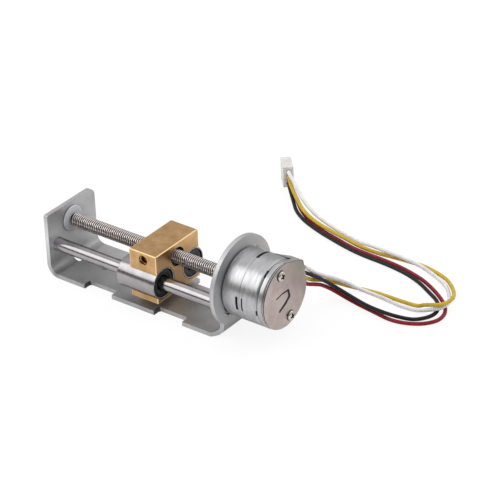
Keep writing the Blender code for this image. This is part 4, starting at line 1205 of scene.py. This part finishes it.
# %% Inner finishes
bronze = make_finish("sintered_bronze_look", (0.38, 0.26, 0.16), (0.50, 0.36, 0.23), (0.45, 0.65),
                     metal=1.0, patches=1500, grain=(9000, 9000, 9000), relief=0.3)
copper = make_finish("enamelled_copper", (0.50, 0.20, 0.09), (0.66, 0.30, 0.14), (0.25, 0.4),
                     metal=1.0, patches=700, grain=(9000, 400, 400), relief=0.5)
spool_resin = make_finish("spool_resin", (0.50, 0.48, 0.43), (0.58, 0.56, 0.51), (0.4, 0.55))
ferrite = make_finish("magnet_ferrite", (0.045, 0.045, 0.048), (0.085, 0.085, 0.09), (0.4, 0.6),
                      patches=2000, relief=0.3)
hub_resin = make_finish("hub_resin", (0.02, 0.02, 0.02), (0.035, 0.035, 0.035), (0.4, 0.55))
inner_nodes = (
    (plated, ("front_outer_pole", "front_inner_pole", "rear_inner_pole", "rear_outer_pole")),
    (spool_resin, ("front_bobbin", "rear_bobbin")),
    (copper, ("front_winding", "rear_winding")),
    (ferrite, ("rotor_magnet",)),
    (hub_resin, ("rotor_hub",)),
)
for finish, names in inner_nodes:
    for name in names:
        paint(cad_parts[name], finish)

# %% Bushes
ring("front_bush_bronze", 22.3 * MM, 25.4 * MM, 1.1 * MM, 2.4 * MM, motor_axis, 0.18 * MM,
     bronze, "frame", "front_bush", slot="sintered_bronze")
ring("rear_bush_bronze", 31.8 * MM, 33.4 * MM, 0.7 * MM, 2.4 * MM, motor_axis, 0.15 * MM,
     bronze, "frame", "rear_bush", slot="sintered_bronze")

# %% [markdown]
# ## Terminals
# The leads are soldered to four short pins on a moulded block beside the rear can. The pins
# and their solder drops stand in a row, which is again a job for Geometry Nodes.

# %% Terminal finishes
terminal_resin = make_finish("terminal_resin", (0.16, 0.185, 0.15), (0.23, 0.255, 0.21),
                             (0.35, 0.5), patches=700, grain=(5000, 5000, 5000), relief=0.2)
tin = make_finish("tinned_pin_look", (0.50, 0.49, 0.46), (0.62, 0.61, 0.58), (0.2, 0.35),
                  metal=1.0, patches=1500)
solder = make_finish("solder", (0.42, 0.42, 0.42), (0.56, 0.56, 0.55), (0.22, 0.4), metal=1.0,
                     patches=2500, relief=0.4)

# %% Terminal block
low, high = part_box("terminal_block")
inner, foot = in_mm(7.6, -4.1)
outline = arc((0, 0), inner, math.degrees(math.asin(foot / inner)), 62, 40)
outline += arc((0, 0), 7.8 * MM, ear_angle, ear_angle, 1)[:1]
outline += in_mm((9.0, 3.4), (9.3, 1.9), (9.3, -4.1))
outline = [(y, screw_height + z) for y, z in outline]
terminal = punched("terminal_housing", outline, low.x, high.x, "YZ")
neck = punched("neck", in_mm((7.0, 7.3), (8.1, 7.3), (8.1, 12.7), (7.0, 12.7)),
               low.x + 0.1 * MM, 31.7 * MM, "YZ")
pin_place, pin_pitch = in_mm(32.3, 1.27)
pin_heights = in_mm(11.905, 10.635, 9.365, 8.095)
cuts = [drilled((pin_place, z), 0.4 * MM, 8.6 * MM, 10 * MM, "Y") for z in pin_heights]
carved(terminal, cuts, [neck], edge=0.1 * MM)
dress(terminal, terminal_resin, "frame", "terminal_block", slot="terminal_plastic")


# %% Geometry Nodes for a row of copies
def row_tree():
    tree, given, group_out = new_tree("copies in a row", [
        ("Piece", "NodeSocketObject", None), ("Count", "NodeSocketInt", 4),
        ("First", "NodeSocketVector", None), ("Step", "NodeSocketVector", None),
        ("Finish", "NodeSocketMaterial", None),
    ])
    row = add_node(tree, "GeometryNodeMeshLine", Count=given["Count"],
                   Start_Location=given["First"], Offset=given["Step"])
    copies = copies_at(tree, row.outputs["Mesh"], given)
    return finish_tree(tree, copies, given, group_out)


row_rule = row_tree()


def row_of(name, pattern, finish):
    """Copies of a piece at all the pins; the piece itself is then removed."""
    made = grown(name, row_rule, Piece=pattern, Count=len(pin_heights), Finish=finish,
                 First=(pin_place, 0.0, min(pin_heights)), Step=(0.0, 0.0, pin_pitch))
    bpy.data.objects.remove(pattern, do_unlink=True)
    return smooth(made, 45)


# %% Pins and solder
pin_outline = rounded(in_mm((8.2, 0, 0), (8.2, 0.3), (9.7, 0.3), (9.7, 0, 0)), 0.08 * MM)
pins = row_of("terminal_pins", turned("pin_pattern", pin_outline, (0, 0), "Y", 24), tin)
dress(pins, tin, "frame", "terminal_pin_1", "terminal_pin_2", "terminal_pin_3", "terminal_pin_4",
      slot="tinned_pin")
drop_outline = in_mm((9.25, 0), (9.25, 0.48), (9.38, 0.47), (9.55, 0.42), (9.72, 0.36),
                     (9.86, 0.34), (9.95, 0.25), (9.95, 0))
drops = row_of("solder_drops", turned("drop_pattern", drop_outline, (0, 0), "Y", 24), solder)
dress(drops, solder, "frame", slot="tinned_pin")

# %% [markdown]
# ## Plug
# The plug is a small milky nylon housing that lies on its edge. Four leads go into one end, and
# the contacts sit in square cavities at the other. Windows in its side hold the contacts'
# latches. It is made flat at the origin, and its mesh is then turned into place.

# %% Plug finishes
nylon = make_finish("milky_nylon", (0.66, 0.645, 0.63), (0.76, 0.745, 0.73), (0.3, 0.42),
                    patches=700, grain=(5000, 5000, 5000), relief=0.12)
milky = {"Subsurface Weight": 0.35, "Subsurface Radius": (0.0012, 0.0011, 0.001),
         "Subsurface Scale": 1.0}
for label, value in milky.items():
    shader_of(nylon).inputs[label].default_value = value
contact_brass = make_finish("contact_brass_look", (0.52, 0.36, 0.13), (0.66, 0.48, 0.20),
                            (0.2, 0.32), metal=1.0, patches=1500)


# %% Plug
def block_between(name, low, high):
    """Plain block between two corners given in millimetres."""
    low, high = in_mm(low, high)
    outline = [(low[0], low[1]), (high[0], low[1]), (high[0], high[1]), (low[0], high[1])]
    return punched(name, outline, low[2], high[2], "XY")


housing = block_between("plug_housing", (0, -1.2, 0), (5.0, 1.2, 5.2))
cuts = []
for row_index in range(4):
    z = 1.0 + 1.05 * row_index
    cuts.append(block_between("cavity", (3.2, -0.4, z - 0.4), (6, 0.4, z + 0.4)))
    cuts.append(drilled((0, z * MM), 0.44 * MM, -MM, 0.5 * MM, "X"))
    cuts.append(block_between("latch_window", (1.3, -1.5, z - 0.22), (2.4, -0.85, z + 0.22)))
for z in (0.9, 3.9):
    cuts.append(block_between("key_way", (2.9, 0.95, z), (6, 1.5, z + 0.4)))
carved(housing, cuts, edge=0.1 * MM, segments=3)
turn = Matrix.Rotation(math.radians(133), 4, "Z")
housing.data.transform(Matrix.Translation(in_mm(-2.8, 52.3, 0.1)) @ turn)
dress(housing, nylon, "frame", "connector_housing", slot="housing_plastic")
for contact_index in range(1, 5):
    paint(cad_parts["connector_contact_%d" % contact_index], contact_brass)

for name, lead in leads.items():
    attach(lead, "frame")
    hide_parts(name)
